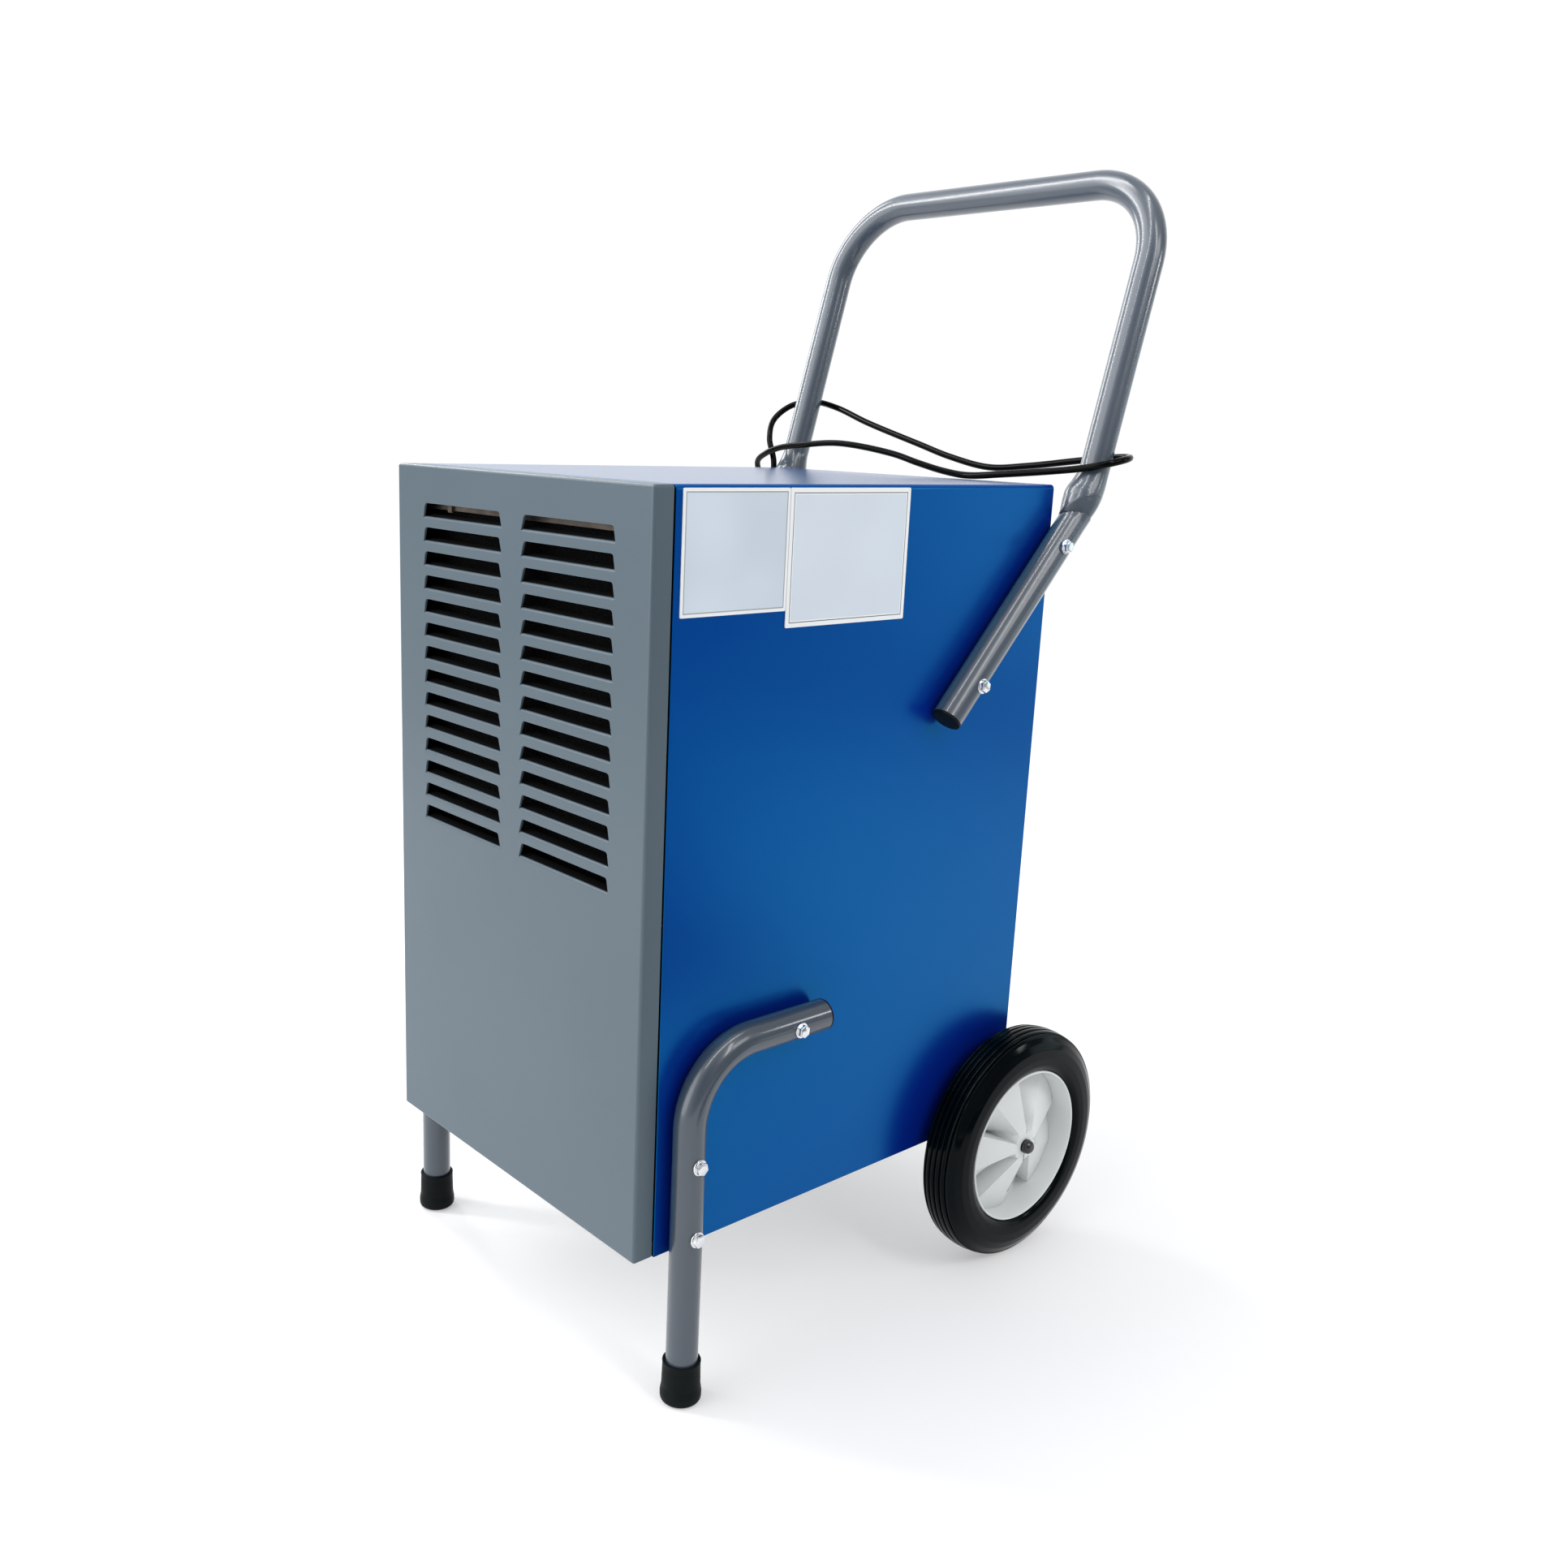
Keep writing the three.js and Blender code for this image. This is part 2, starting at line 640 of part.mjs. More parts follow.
// A strap across the shroud that carries the motor on its middle.
function fanBracket() {
  const bar = outline([[-125, 111.7], [-125, 90.3], [125, 90.3], [125, 111.7], [121, 111.7], [121, 94],
    [-121, 94], [-121, 111.7]]);
  return cut(prismZ(bar, FAN.z - 15, FAN.z + 15), rodY(9, 88, 98, 0, FAN.z, 12));
}

function impeller() {
  const y0 = 118;
  const y1 = 142;
  const pieces = [rodY(FAN.hub, y0, y1, 0, FAN.z, 20)];
  const blades = 5;
  for (let i = 0; i < blades; i += 1) {
    const blade = outline([[-14, FAN.hub - 4], [14, FAN.hub - 4], [34, 60], [30, FAN.blade - 10],
      [4, FAN.blade - 2], [-26, FAN.blade - 14], [-24, 55]]);
    const sheet = prismY(blade, -1.2, 1.2).rotateZ(THREE.MathUtils.degToRad(26));
    sheet.rotateY((2 * Math.PI * i) / blades);
    pieces.push(sheet.translate(0, (y0 + y1) / 2, FAN.z));
  }
  return cut(join(...pieces), rodY(4 + GAP, y0 - 1, y1 + 1, 0, FAN.z, 12));
}

add('air_filter', block(-152, 152, -262, -253, 402, 704), FOAM);
add('evaporator_coil', coil(-245, -187, 4), ALUMINIUM);
add('condenser_coil', coil(-172, -114, 4), ALUMINIUM);
add('drip_tray', dripTray(), BLACK_PLASTIC);
add('deck', deck(), STEEL);
add('fan_shroud', fanShroud(), STEEL);
add('fan_motor', fanMotor(), COMPRESSOR_PAINT);
add('fan_bracket', fanBracket(), STEEL);
add('fan_shaft', rodY(4, 54, 146, 0, FAN.z, 12), STEEL);
add('fan_impeller', impeller(), ALUMINIUM);

// ---------------------------------------------------------------- refrigeration circuit

const COMPRESSOR = { x: 0, y: -158, base: 132, radius: 62, top: 348 };

function compressor() {
  const { x, y, base, radius, top } = COMPRESSOR;
  const shell = turning([
    [0, base + 14], [radius - 18, base + 16], [radius - 3, base + 30], [radius, base + 44],
    [radius, top - 44], [radius - 5, top - 24], [radius - 24, top - 6], [0, top],
  ], 28).translate(x, y, 0);
  const plate = block(x - 82, x + 82, y - 40, y + 40, base + 12, base + 16);
  const feet = [[-70, -28], [70, -28], [-70, 28], [70, 28]].map(
    ([dx, dy]) => rodZ(11, CABINET.bottom + SHEET + GAP, base + 13, x + dx, y + dy, 12),
  );
  const terminals = block(x - 26, x + 26, y - radius - 14, y - radius + 12, 210, 262);
  return join(shell, plate, terminals, ...feet);
}

// A pipe between two places, given by its corners.
function pipe(radius, ...vertices) {
  const bends = vertices.slice(2).map(() => 3 * radius);
  return bentRod(vertices, bends, radius);
}

function dischargeLine() {
  const y = -143;
  const [riser] = PIPE_PASSES[0];
  return pipe(4, [30, y, 344.6], [30, y, 372], [riser, y, 372], [riser, y, 622], [132.4, y, 622]);
}

function suctionLine() {
  const [riser, y] = PIPE_PASSES[1];
  return pipe(4.5, [-132.4, y, 470], [riser, y, 470], [riser, y, 366], [-30, y, 366],
    [-30, -173, 366], [-30, -173, 344.8]);
}

// The liquid line, with its filter drier as a fat part of its riser.
function liquidLine() {
  const x = -160;
  const line = pipe(3, [-132.4, -143, 480], [x, -143, 480], [x, -143, 622], [x, -200, 622],
    [-132.4, -200, 622]);
  const drier = turning([[0, 534], [4, 538], [9, 548], [9, 590], [4, 600], [0, 604]], 14);
  return join(line, drier.translate(x, -143, 0));
}

add('compressor', compressor(), COMPRESSOR_PAINT);
add('discharge_line', dischargeLine(), COPPER);
add('suction_line', suctionLine(), COPPER);
add('liquid_line', liquidLine(), COPPER);

// ---------------------------------------------------------------- water tank

const TANK_HANDLE = { y: 171, z: 300, lug: 50, drop: 36, radius: 3 };
const FLOAT = { x: -100, y: 150, z: 338, reach: 70, radius: 15 };

function waterTank() {
  const { halfWidth, front, rear, bottom, top, wall } = TANK;
  const { y, z, lug, radius } = TANK_HANDLE;
  const shell = cut(
    block(-halfWidth, halfWidth, front, rear, bottom, top),
    block(-halfWidth + wall, halfWidth - wall, front + wall, rear - wall, bottom + wall, top + 1),
  );
  const lugs = [lug, -lug - 6].map((x) => block(x, x + 6, rear - 1, y + 6, z - 7, z + 7));
  const hinges = [-12, 8].map((dx) => block(FLOAT.x + dx, FLOAT.x + dx + 4, FLOAT.y - 6, rear - 1,
    FLOAT.z - 7, FLOAT.z + 7));
  return cut(
    join(shell, ...lugs, ...hinges),
    rodX(radius + 0.5, -lug - 8, lug + 8, y, z, 12),
    rodX(2.5 + 0.5, FLOAT.x - 14, FLOAT.x + 14, FLOAT.y, FLOAT.z, 12),
  );
}

function tankHandle() {
  const { y, z, lug, drop, radius } = TANK_HANDLE;
  const end = lug + 7;
  const side = lug - 8;
  return bentRod([[end, y, z], [side, y, z], [side, y, z - drop], [-side, y, z - drop], [-side, y, z],
    [-end, y, z]], [5, 8, 8, 5], radius, 10);
}

// The float arm with its pivot pin and ball, resting as it does in an empty tank.
function floatArm() {
  const { x, y, z, reach, radius } = FLOAT;
  const pin = rodX(2.5, x - 13, x + 13, y, z, 12);
  const arm = block(x - 4, x + 4, y - reach, y, z - 3, z + 3);
  const ball = new THREE.SphereGeometry(radius, 16, 10).translate(x, y - reach, z - 8);
  return join(pin, arm, ball);
}

function tankCradle() {
  const floor = CABINET.bottom + SHEET + GAP;
  const railTop = TANK.bottom - GAP;
  return join(
    block(-125, 125, -46, 150, floor, floor + SHEET),
    block(105, 125, -46, 150, floor, railTop),
    block(-125, -105, -46, 150, floor, railTop),
    block(-125, 125, -46, -44, floor, railTop + 14),
  );
}

add('water_tank', waterTank(), TANK_PLASTIC);
add('tank_handle', tankHandle(), STEEL);
add('float_arm', floatArm(), WHITE_PLASTIC);
add('tank_cradle', tankCradle(), STEEL);

// ---------------------------------------------------------------- controls on the rear

const CONTROLS = {
  face: CABINET.rear + GAP, plate: 4,
  rocker: { x: 96, halfWidth: 9.5, halfHeight: 14 },
  reset: { x: 62, radius: 6 },
  knob: { x: 4, radius: 17, shaft: 3 },
};

function controlBezel() {
  const { face, plate, rocker, reset, knob } = CONTROLS;
  const { x, z, halfWidth, halfHeight } = PANEL;
  const outer = block(x - halfWidth, x + halfWidth, face, face + plate, z - halfHeight, z + halfHeight);
  const lowered = block(x - halfWidth + 4, x + halfWidth - 4, face + 2.5, face + plate + 1,
    z - halfHeight + 4, z + halfHeight - 4);
  const opening = block(rocker.x - rocker.halfWidth - 0.5, rocker.x + rocker.halfWidth + 0.5,
    face - 1, face + 9, z - rocker.halfHeight - 0.5, z + rocker.halfHeight + 0.5);
  return cut(outer, lowered, opening,
    rodY(reset.radius + 0.4, face - 1, face + 9, reset.x, z, 16),
    rodY(knob.shaft + 0.4, face - 1, face + 9, knob.x, z, 12));
}

// A three-position rocker; its two faces slope away from its middle.
function rockerSwitch() {
  const { face, rocker } = CONTROLS;
  const h = rocker.halfHeight - 0.6;
  const profile = outline([[face - 9, PANEL.z - h + 3], [face - 9, PANEL.z + h - 3],
    [face, PANEL.z + h], [face + 7.5, PANEL.z + h - 1], [face + 4, PANEL.z], [face + 7.5, PANEL.z - h + 1],
    [face, PANEL.z - h]]);
  return prismX(profile, rocker.x - rocker.halfWidth, rocker.x + rocker.halfWidth);
}

function resetButton() {
  const { face, reset } = CONTROLS;
  const { radius } = reset;
  return turningY([[0, face - 8], [radius, face - 8], [radius, face + 7], [radius - 1.5, face + 8.5],
    [0, face + 8.5]], 16, reset.x, PANEL.z);
}

function humidityKnob() {
  const { face, knob } = CONTROLS;
  const base = face + 4.5;
  const dial = turningY([[0, face - 9], [knob.shaft, face - 9], [knob.shaft, base], [knob.radius, base],
    [knob.radius, base + 3], [knob.radius - 4, base + 5], [knob.radius - 5, base + 14],
    [0, base + 15]], 24, knob.x, PANEL.z);
  const pointer = block(knob.x - 1.5, knob.x + 1.5, base + 12, base + 16.5, PANEL.z, PANEL.z + 11);
  return join(dial, pointer);
}

function controlBox() {
  const { halfWidth, halfHeight, x, z } = PANEL;
  const rear = CABINET.rear - SHEET - 9;
  return block(x - halfWidth + 2, x + halfWidth - 2, 62, rear, DECK_Z + SHEET + GAP, z + halfHeight - 4);
}

add('control_bezel', controlBezel(), BLACK_PLASTIC);
add('power_switch', rockerSwitch(), RED_PLASTIC);
add('reset_button', resetButton(), WHITE_PLASTIC);
add('humidity_knob', humidityKnob(), BLACK_PLASTIC);
add('control_box', controlBox(), STEEL);

// ---------------------------------------------------------------- power lead

// The lead's route from the gland, wound once round the two handle uprights, to the plug.
const LEAD_ROUTE = [
  [-130, 202.3, 436], [-130, 226, 436], [-132, 246, 443], [-141, 260, 465], [-160, 265, 515],
  [-184, 260, 575], [-210, 243, 630], [-231, 220, 672], [-240, 202, 700], [-233, 186, 720],
  [-213, 178.5, 730], [-188, 176.5, 737], [-153, 176.5, 741], [-103, 176, 744], [-25, 171, 736.5],
  [13, 167, 729], [50, 162, 723], [82, 158, 720.6], [120, 160, 723.5], [158, 171, 727.5],
  [187, 181, 731.5], [205.4, 188.6, 735.5], [213, 207, 740], [205.4, 225.4, 742], [187, 233, 741.5],
  [150, 234, 737.5], [90, 233, 730], [45, 232.5, 727], [-3, 232, 735], [-45, 232, 746],
  [-118, 232.5, 765.5], [-165, 234, 780], [-200, 234.5, 785.5], [-225, 225, 781], [-232, 207, 766],
  [-222, 192, 746], [-208, 186.5, 722], [-207, 184.5, 690], [-209, 183, 600], [-209, 183, 330],
];

function powerLead() {
  const points = LEAD_ROUTE.map((p) => new THREE.Vector3(...p));
  const path = new THREE.CatmullRomCurve3(points, false, 'centripetal');
  return new THREE.ExtrudeGeometry(circle(CORD_RADIUS, 8), { steps: 78, extrudePath: path });
}

function cordGland() {
  const { x, z, thread, flange, length } = GLAND;
  const rear = CABINET.rear;
  return turningY([[0, rear - 14], [thread + 3, rear - 14], [thread + 3, rear - SHEET - GAP],
    [thread, rear - SHEET - GAP], [thread, rear + GAP], [flange, rear + GAP], [flange, rear + 7],
    [flange - 4, rear + 10], [thread - 1, rear + 11], [CORD_RADIUS + 1.2, rear + length],
    [0, rear + length]], 16, x, z);
}

function plug() {
  const [x, y, top] = LEAD_ROUTE[LEAD_ROUTE.length - 1];
  const body = turning([[0, -62], [17, -62], [18.5, -59], [18.5, -44], [15, -34], [8, -28], [6.5, -24],
    [CORD_RADIUS + 1, -GAP], [0, -GAP]], 20);
  const pin = [[0, -81], [1.6, -80.5], [2.4, -79], [2.4, -61], [0, -61]];
  const pins = [9.5, -9.5].map((dx) => turning(pin, 10).translate(dx, 0, 0));
  return join(body, ...pins).translate(x, y, top);
}

add('cord_gland', cordGland(), BLACK_PLASTIC);
add('power_lead', powerLead(), BLACK_RUBBER);
add('plug', plug(), BLACK_RUBBER);

export default machine;
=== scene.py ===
"""The looks of the wheeled dehumidifier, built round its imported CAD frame.

Shapes are drawn in millimetres in the row frame (+Z up, -Y the louvred front, +X the side with
the labels) and become metres when their mesh is made.
"""

from math import atan2, ceil, copysign, cos, degrees, pi, radians, sin, sqrt, tan

import bmesh
import bpy
from mathutils import Matrix, Vector


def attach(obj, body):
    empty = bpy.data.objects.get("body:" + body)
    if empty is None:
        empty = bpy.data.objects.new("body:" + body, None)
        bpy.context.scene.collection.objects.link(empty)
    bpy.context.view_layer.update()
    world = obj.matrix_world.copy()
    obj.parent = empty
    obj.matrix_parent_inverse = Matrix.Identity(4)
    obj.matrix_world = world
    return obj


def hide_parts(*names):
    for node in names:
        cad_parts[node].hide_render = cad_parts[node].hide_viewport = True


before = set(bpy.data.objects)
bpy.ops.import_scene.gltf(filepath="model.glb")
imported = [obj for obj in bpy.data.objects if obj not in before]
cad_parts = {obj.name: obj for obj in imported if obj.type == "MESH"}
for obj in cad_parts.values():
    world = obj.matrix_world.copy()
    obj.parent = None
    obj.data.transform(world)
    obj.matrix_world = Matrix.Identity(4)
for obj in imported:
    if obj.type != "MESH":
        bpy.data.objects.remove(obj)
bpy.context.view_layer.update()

MM = 0.001

# ---- sizes, as in the CAD

HALF_WIDTH, FRONT, REAR, BOTTOM, TOP = 175, -284, 162, 126, 717
TRAY_DEPTH, SEAM = 18, 1.8
TUBE_RADIUS, BORE_RADIUS = 13, 11.2
TUBE_X = 188.3
HANDLE_BENDS, LEG_BEND = (45, 75, 75, 45), 60
HANDLE_END, HANDLE_ELBOW, HANDLE_TOP = (24.6, 526), (193, 707), (271, 980.6)
HANDLE_SCREWS = ((51.6, 553), (149.9, 666))
LEG_Y, LEG_FOOT_Z, LEG_TOP_Z, LEG_END_Y = -243, 8.3, 294, -106
LEG_SCREWS = ((-141, 293.5), (-243, 207), (-243, 146))
WHEEL_X, WHEEL_Y, WHEEL_Z = 199, 149, 110
TYRE_RADIUS, RIM = 110, 73
FAN_Z = 590
CONTROL_Z, KNOB_X, GLAND_X = 436, 4, -130
TANK_FACE = 163
BACKWARD = (0, 1, 0)
SIDES = (("right", 1), ("left", -1))


# ---- camera

CAMERA_PLACE = (0.96603, -0.91877, 0.75631)
CAMERA_ANGLES = (49.2317, 13.2336, 2.0021)
CAMERA_LENS, CAMERA_SHIFT = 33.76, (0.0554, -0.0078)


def added(name, data):
    """A new object in the scene."""
    made = bpy.data.objects.new(name, data)
    bpy.context.scene.collection.objects.link(made)
    return made


def make_camera():
    """The camera, from its place and its azimuth, elevation and roll in degrees."""
    azimuth, elevation, roll = (radians(a) for a in CAMERA_ANGLES)
    back = Vector((
        sin(azimuth) * cos(elevation),
        -cos(azimuth) * cos(elevation),
        sin(elevation),
    ))
    level = Vector((cos(azimuth), sin(azimuth), 0))
    upright = back.cross(level)
    right = level * cos(roll) + upright * sin(roll)
    up = upright * cos(roll) - level * sin(roll)
    data = bpy.data.cameras.new("camera")
    data.sensor_width = 36
    data.lens = CAMERA_LENS
    data.shift_x, data.shift_y = CAMERA_SHIFT
    data.clip_end = 60
    camera = added("camera", data)
    turn = Matrix((right, up, back)).transposed().to_4x4()
    camera.matrix_world = Matrix.Translation(CAMERA_PLACE) @ turn
    bpy.context.scene.camera = camera


make_camera()


# ---- materials

def new_material(name):
    material = bpy.data.materials.new(name)
    material.use_nodes = True
    tree = material.node_tree
    return material, tree, tree.nodes["Principled BSDF"]


def set_inputs(node, values):
    for name, value in values.items():
        node.inputs[name].default_value = value


def textured(tree, kind, scale):
    """A texture node fixed to the object, with scale features to a metre."""
    made = tree.nodes.new(kind)
    made.inputs["Scale"].default_value = scale
    place = tree.nodes.new("ShaderNodeTexCoord").outputs["Object"]
    tree.links.new(place, made.inputs["Vector"])
    return made


def noise(tree, size, detail=2.0):
    """Smooth noise whose features are about size millimetres."""
    made = textured(tree, "ShaderNodeTexNoise", 1 / (size * MM))
    made.inputs["Detail"].default_value = detail
    return made.outputs["Fac"]


def ranged(tree, value, low, high, start=0.15, end=0.85):
    """Carries start..end to low..high along an S curve, and holds the ends."""
    node = tree.nodes.new("ShaderNodeMapRange")
    node.interpolation_type = "SMOOTHSTEP"
    set_inputs(node, {"From Min": start, "From Max": end, "To Min": low, "To Max": high})
    tree.links.new(value, node.inputs["Value"])
    return node.outputs["Result"]


def blended(tree, factor, first, second):
    """Mixes two colours; either may be a socket."""
    node = tree.nodes.new("ShaderNodeMix")
    node.data_type = "RGBA"
    for socket, value in ((node.inputs[6], first), (node.inputs[7], second)):
        if isinstance(value, bpy.types.NodeSocket):
            tree.links.new(value, socket)
        else:
            socket.default_value = (*value, 1)
    tree.links.new(factor, node.inputs[0])
    return node.outputs[2]


def bumped(tree, shader, height, depth):
    """Relief depth millimetres deep."""
    node = tree.nodes.new("ShaderNodeBump")
    set_inputs(node, {"Strength": 1, "Distance": depth * MM})
    tree.links.new(height, node.inputs["Height"])
    tree.links.new(node.outputs["Normal"], shader.inputs["Normal"])


def surface(name, color, roughness, metallic=0.0, mottle=0.06, mottle_size=60, gloss_spread=0.04,
            grain=0, grain_depth=0.01, coat=0.0, coat_blur=0.07, coat_ior=1.5,
            specular=0.5, ior=1.5, tint=(1, 1, 1)):
    """A finish with a slow drift of colour, uneven gloss and a fine grain."""
    material, tree, shader = new_material(name)
    drift = ranged(tree, noise(tree, mottle_size, 1 if grain else 0), 0, 1)
    darker = [c * (1 - mottle) for c in color]
    lighter = [min(1, c * (1 + mottle)) for c in color]
    tree.links.new(blended(tree, drift, darker, lighter), shader.inputs["Base Color"])
    sheen = noise(tree, mottle_size / 3, 2 if grain else 0)
    tree.links.new(
        ranged(tree, sheen, roughness - gloss_spread, roughness + gloss_spread),
        shader.inputs["Roughness"],
    )
    set_inputs(shader, {
        "Metallic": metallic, "Specular IOR Level": specular, "IOR": ior,
        "Specular Tint": (*tint, 1), "Coat Weight": coat,
    })
    if coat:
        set_inputs(shader, {"Coat Roughness": coat_blur, "Coat IOR": coat_ior})
    if grain:
        bumped(tree, shader, noise(tree, grain), grain_depth)
    return material


SPANGLES, FOAM_CELLS = 130, 700
FIN_PITCH, WAVE_FACTOR = 2.2, 20


def galvanised(name, color):
    """Zinc-coated sheet with its spangle."""
    material, tree, shader = new_material(name)
    cells = textured(tree, "ShaderNodeTexVoronoi", SPANGLES)
    spangle = tree.nodes.new("ShaderNodeSeparateColor")
    tree.links.new(cells.outputs["Color"], spangle.inputs["Color"])
    shade = spangle.outputs["Red"]
    tree.links.new(
        blended(tree, shade, [c * 0.82 for c in color], [c * 1.12 for c in color]),
        shader.inputs["Base Color"],
    )
    tree.links.new(ranged(tree, shade, 0.32, 0.5, 0, 1), shader.inputs["Roughness"])
    shader.inputs["Metallic"].default_value = 0.9
    bumped(tree, shader, noise(tree, 3), 0.01)
    return material


def finned(name, color):
    """The edges of a stack of thin aluminium fins, with painted shade in the gaps between them."""
    material, tree, shader = new_material(name)
    waves = textured(tree, "ShaderNodeTexWave", 1000 / FIN_PITCH / WAVE_FACTOR)
    waves.bands_direction = "X"
    band = waves.outputs["Fac"]
    # Painted shade: the bands between the fins are darkened to 0.12 of the colour.
    tree.links.new(
        blended(tree, band, [c * 0.12 for c in color], color), shader.inputs["Base Color"]
    )
    tree.links.new(ranged(tree, band, 0.6, 0.35, 0, 1), shader.inputs["Roughness"])
    shader.inputs["Metallic"].default_value = 0.8
    bumped(tree, shader, band, 0.8)
    return material


def open_foam(name, color):
    """Filter foam: small open cells, with painted shade darkening each cell's hollow."""
    material, tree, shader = new_material(name)
    depth = textured(tree, "ShaderNodeTexVoronoi", FOAM_CELLS).outputs["Distance"]
    # Painted shade: each cell's hollow is darkened to a fifth of the colour, its walls made lighter.
    wall, shaded_hollow = [c * 1.6 for c in color], [c * 0.2 for c in color]
    tree.links.new(
        blended(tree, ranged(tree, depth, 0, 1, 0.1, 0.6), wall, shaded_hollow),
        shader.inputs["Base Color"],
    )
    set_inputs(shader, {"Roughness": 0.95, "Specular IOR Level": 0.1})
    bumped(tree, shader, depth, 1)
    return material


# The roughness of a paint stays on one side of 0.274 all over: a denoised render shows a line
# where it crosses that value.
GLOSS_PAINT = {"mottle": 0.03, "mottle_size": 220, "gloss_spread": 0.01}
ENAMEL = {"mottle": 0.03, "mottle_size": 70, "gloss_spread": 0.01, "coat": 0.6, "specular": 0.55}
FILM = {"gloss_spread": 0.05, "grain": 6, "grain_depth": 0.006, "specular": 0.3}
BLUE = surface("blue_gloss_paint", (0.001, 0.0115, 0.215), 0.286, **GLOSS_PAINT,
               ior=3.2, tint=(0, 0.31, 0.53))
# Painted light: a copy of the blue paint for the top alone, its colour and coat set for the light that
# falls on the top.
BLUE_TOP_LIT_COPY = surface("blue_paint_lit_copy_for_top", (0.001, 0.05, 0.17), 0.3, **GLOSS_PAINT,
                   specular=0, coat=1, coat_blur=0.25, coat_ior=1.8)
GREY = surface("grey_satin_paint", (0.07, 0.103, 0.129), 0.36, mottle=0.04, mottle_size=160,
               gloss_spread=0.015, grain=2.5, grain_depth=0.002)
TUBE = surface("grey_tube_enamel", (0.056, 0.073, 0.098), 0.29, **ENAMEL, coat_blur=0.16)
# Painted shade: the legs take a darker copy of the tube enamel, standing in for the shade they lie in.
SHADED_LEG_ENAMEL = surface("grey_tube_enamel_shaded_copy", (0.04, 0.056, 0.078), 0.29, **ENAMEL, coat_blur=0.11)
TYRE = surface("tyre_rubber", (0.0004, 0.002, 0.0028), 0.12, mottle=0.2, mottle_size=30,
               gloss_spread=0.02, specular=0.08)
RUBBER = surface("black_rubber", (0.004, 0.006, 0.0065), 0.5, mottle=0.15, mottle_size=20,
                 gloss_spread=0.08, grain=2, grain_depth=0.02, specular=0.08)
CORD = surface("cord_sheath", (0.001, 0.0012, 0.0013), 0.14, mottle=0.1, mottle_size=30,
               gloss_spread=0.03, specular=0.07)
BLACK_PLASTIC = surface("black_plastic", (0.005, 0.006, 0.0065), 0.42, mottle=0.1,
                        mottle_size=25, gloss_spread=0.06, grain=2, specular=0.1)
CAP_PLASTIC = surface("cap_plastic", (0.03, 0.03, 0.032), 0.22, metallic=0.5, mottle=0.1,
                      mottle_size=10, gloss_spread=0.03, specular=0.8)
WHITE_PLASTIC = surface("white_hub_plastic", (0.72, 0.74, 0.735), 0.3, mottle=0.02,
                        mottle_size=30, gloss_spread=0.02)
LABEL = surface("label_film", (0.585, 0.655, 0.735), 0.35, mottle=0.09, mottle_size=90, **FILM)
LABEL_REAR = surface("label_film_rearward", (0.62, 0.68, 0.75), 0.35, mottle=0.07,
                     mottle_size=110, **FILM)
LABEL_WHITE = surface("label_white_edge", (0.84, 0.85, 0.86), 0.4, mottle=0.01, grain=3)
LABEL_LINE = surface("label_grey_line", (0.1, 0.12, 0.135), 0.45, mottle=0.05, grain=3)
LABEL_PALE_LINE = surface("label_pale_line", (0.33, 0.35, 0.36), 0.45, mottle=0.05, grain=3)
ZINC = surface("bright_zinc", (0.78, 0.79, 0.81), 0.2, 1.0, mottle_size=6,
               gloss_spread=0.06, grain=0.6)
COPPER = surface("copper", (0.62, 0.29, 0.16), 0.3, 1.0, mottle=0.15, mottle_size=18,
                 gloss_spread=0.1, grain=1)
ALUMINIUM = surface("aluminium", (0.62, 0.64, 0.66), 0.36, 1.0, mottle=0.05, mottle_size=20,
                    gloss_spread=0.08, grain=0.8, grain_depth=0.012)
MACHINE_BLACK = surface("compressor_paint", (0.009, 0.01, 0.011), 0.32, mottle=0.15,
                        mottle_size=40, gloss_spread=0.06, grain=2, grain_depth=0.02)
TANK = surface("tank_plastic", (0.5, 0.53, 0.55), 0.38, mottle=0.03, mottle_size=80,
               gloss_spread=0.05, grain=0.7, grain_depth=0.012)
RED = surface("red_plastic", (0.42, 0.018, 0.012), 0.34, mottle=0.05, mottle_size=10,
              gloss_spread=0.04, grain=0.6, grain_depth=0.006)
FRAME_BROWN = surface("filter_frame", (0.11, 0.088, 0.07), 0.45, 0.4, mottle=0.45, mottle_size=14,
                      gloss_spread=0.1, grain=1.5, grain_depth=0.02)
# Painted shade: a near-black paint on the louvre flaps and on the blue casing's inner faces, front edge
# and lap strip, standing in for the shade that falls on grey and blue paint there.
PAINTED_SHADE_INSIDE = surface("painted_shade_inside", (0.003, 0.0032, 0.0036), 0.8, mottle=0.1, mottle_size=40,
                 grain=2, specular=0.05)
STEEL = galvanised("galvanised_steel", (0.5, 0.52, 0.54))
FINS = finned("coil_fins", (0.58, 0.6, 0.62))
FOAM = open_foam("filter_foam", (0.004, 0.0043, 0.0048))


# ---- mesh helpers

def turns(count):
    """Angles that divide a full turn evenly."""
    return [2 * pi * k / count for k in range(count)]


def polar(radius, heading):
    angle = radians(heading)
    return radius * cos(angle), radius * sin(angle)


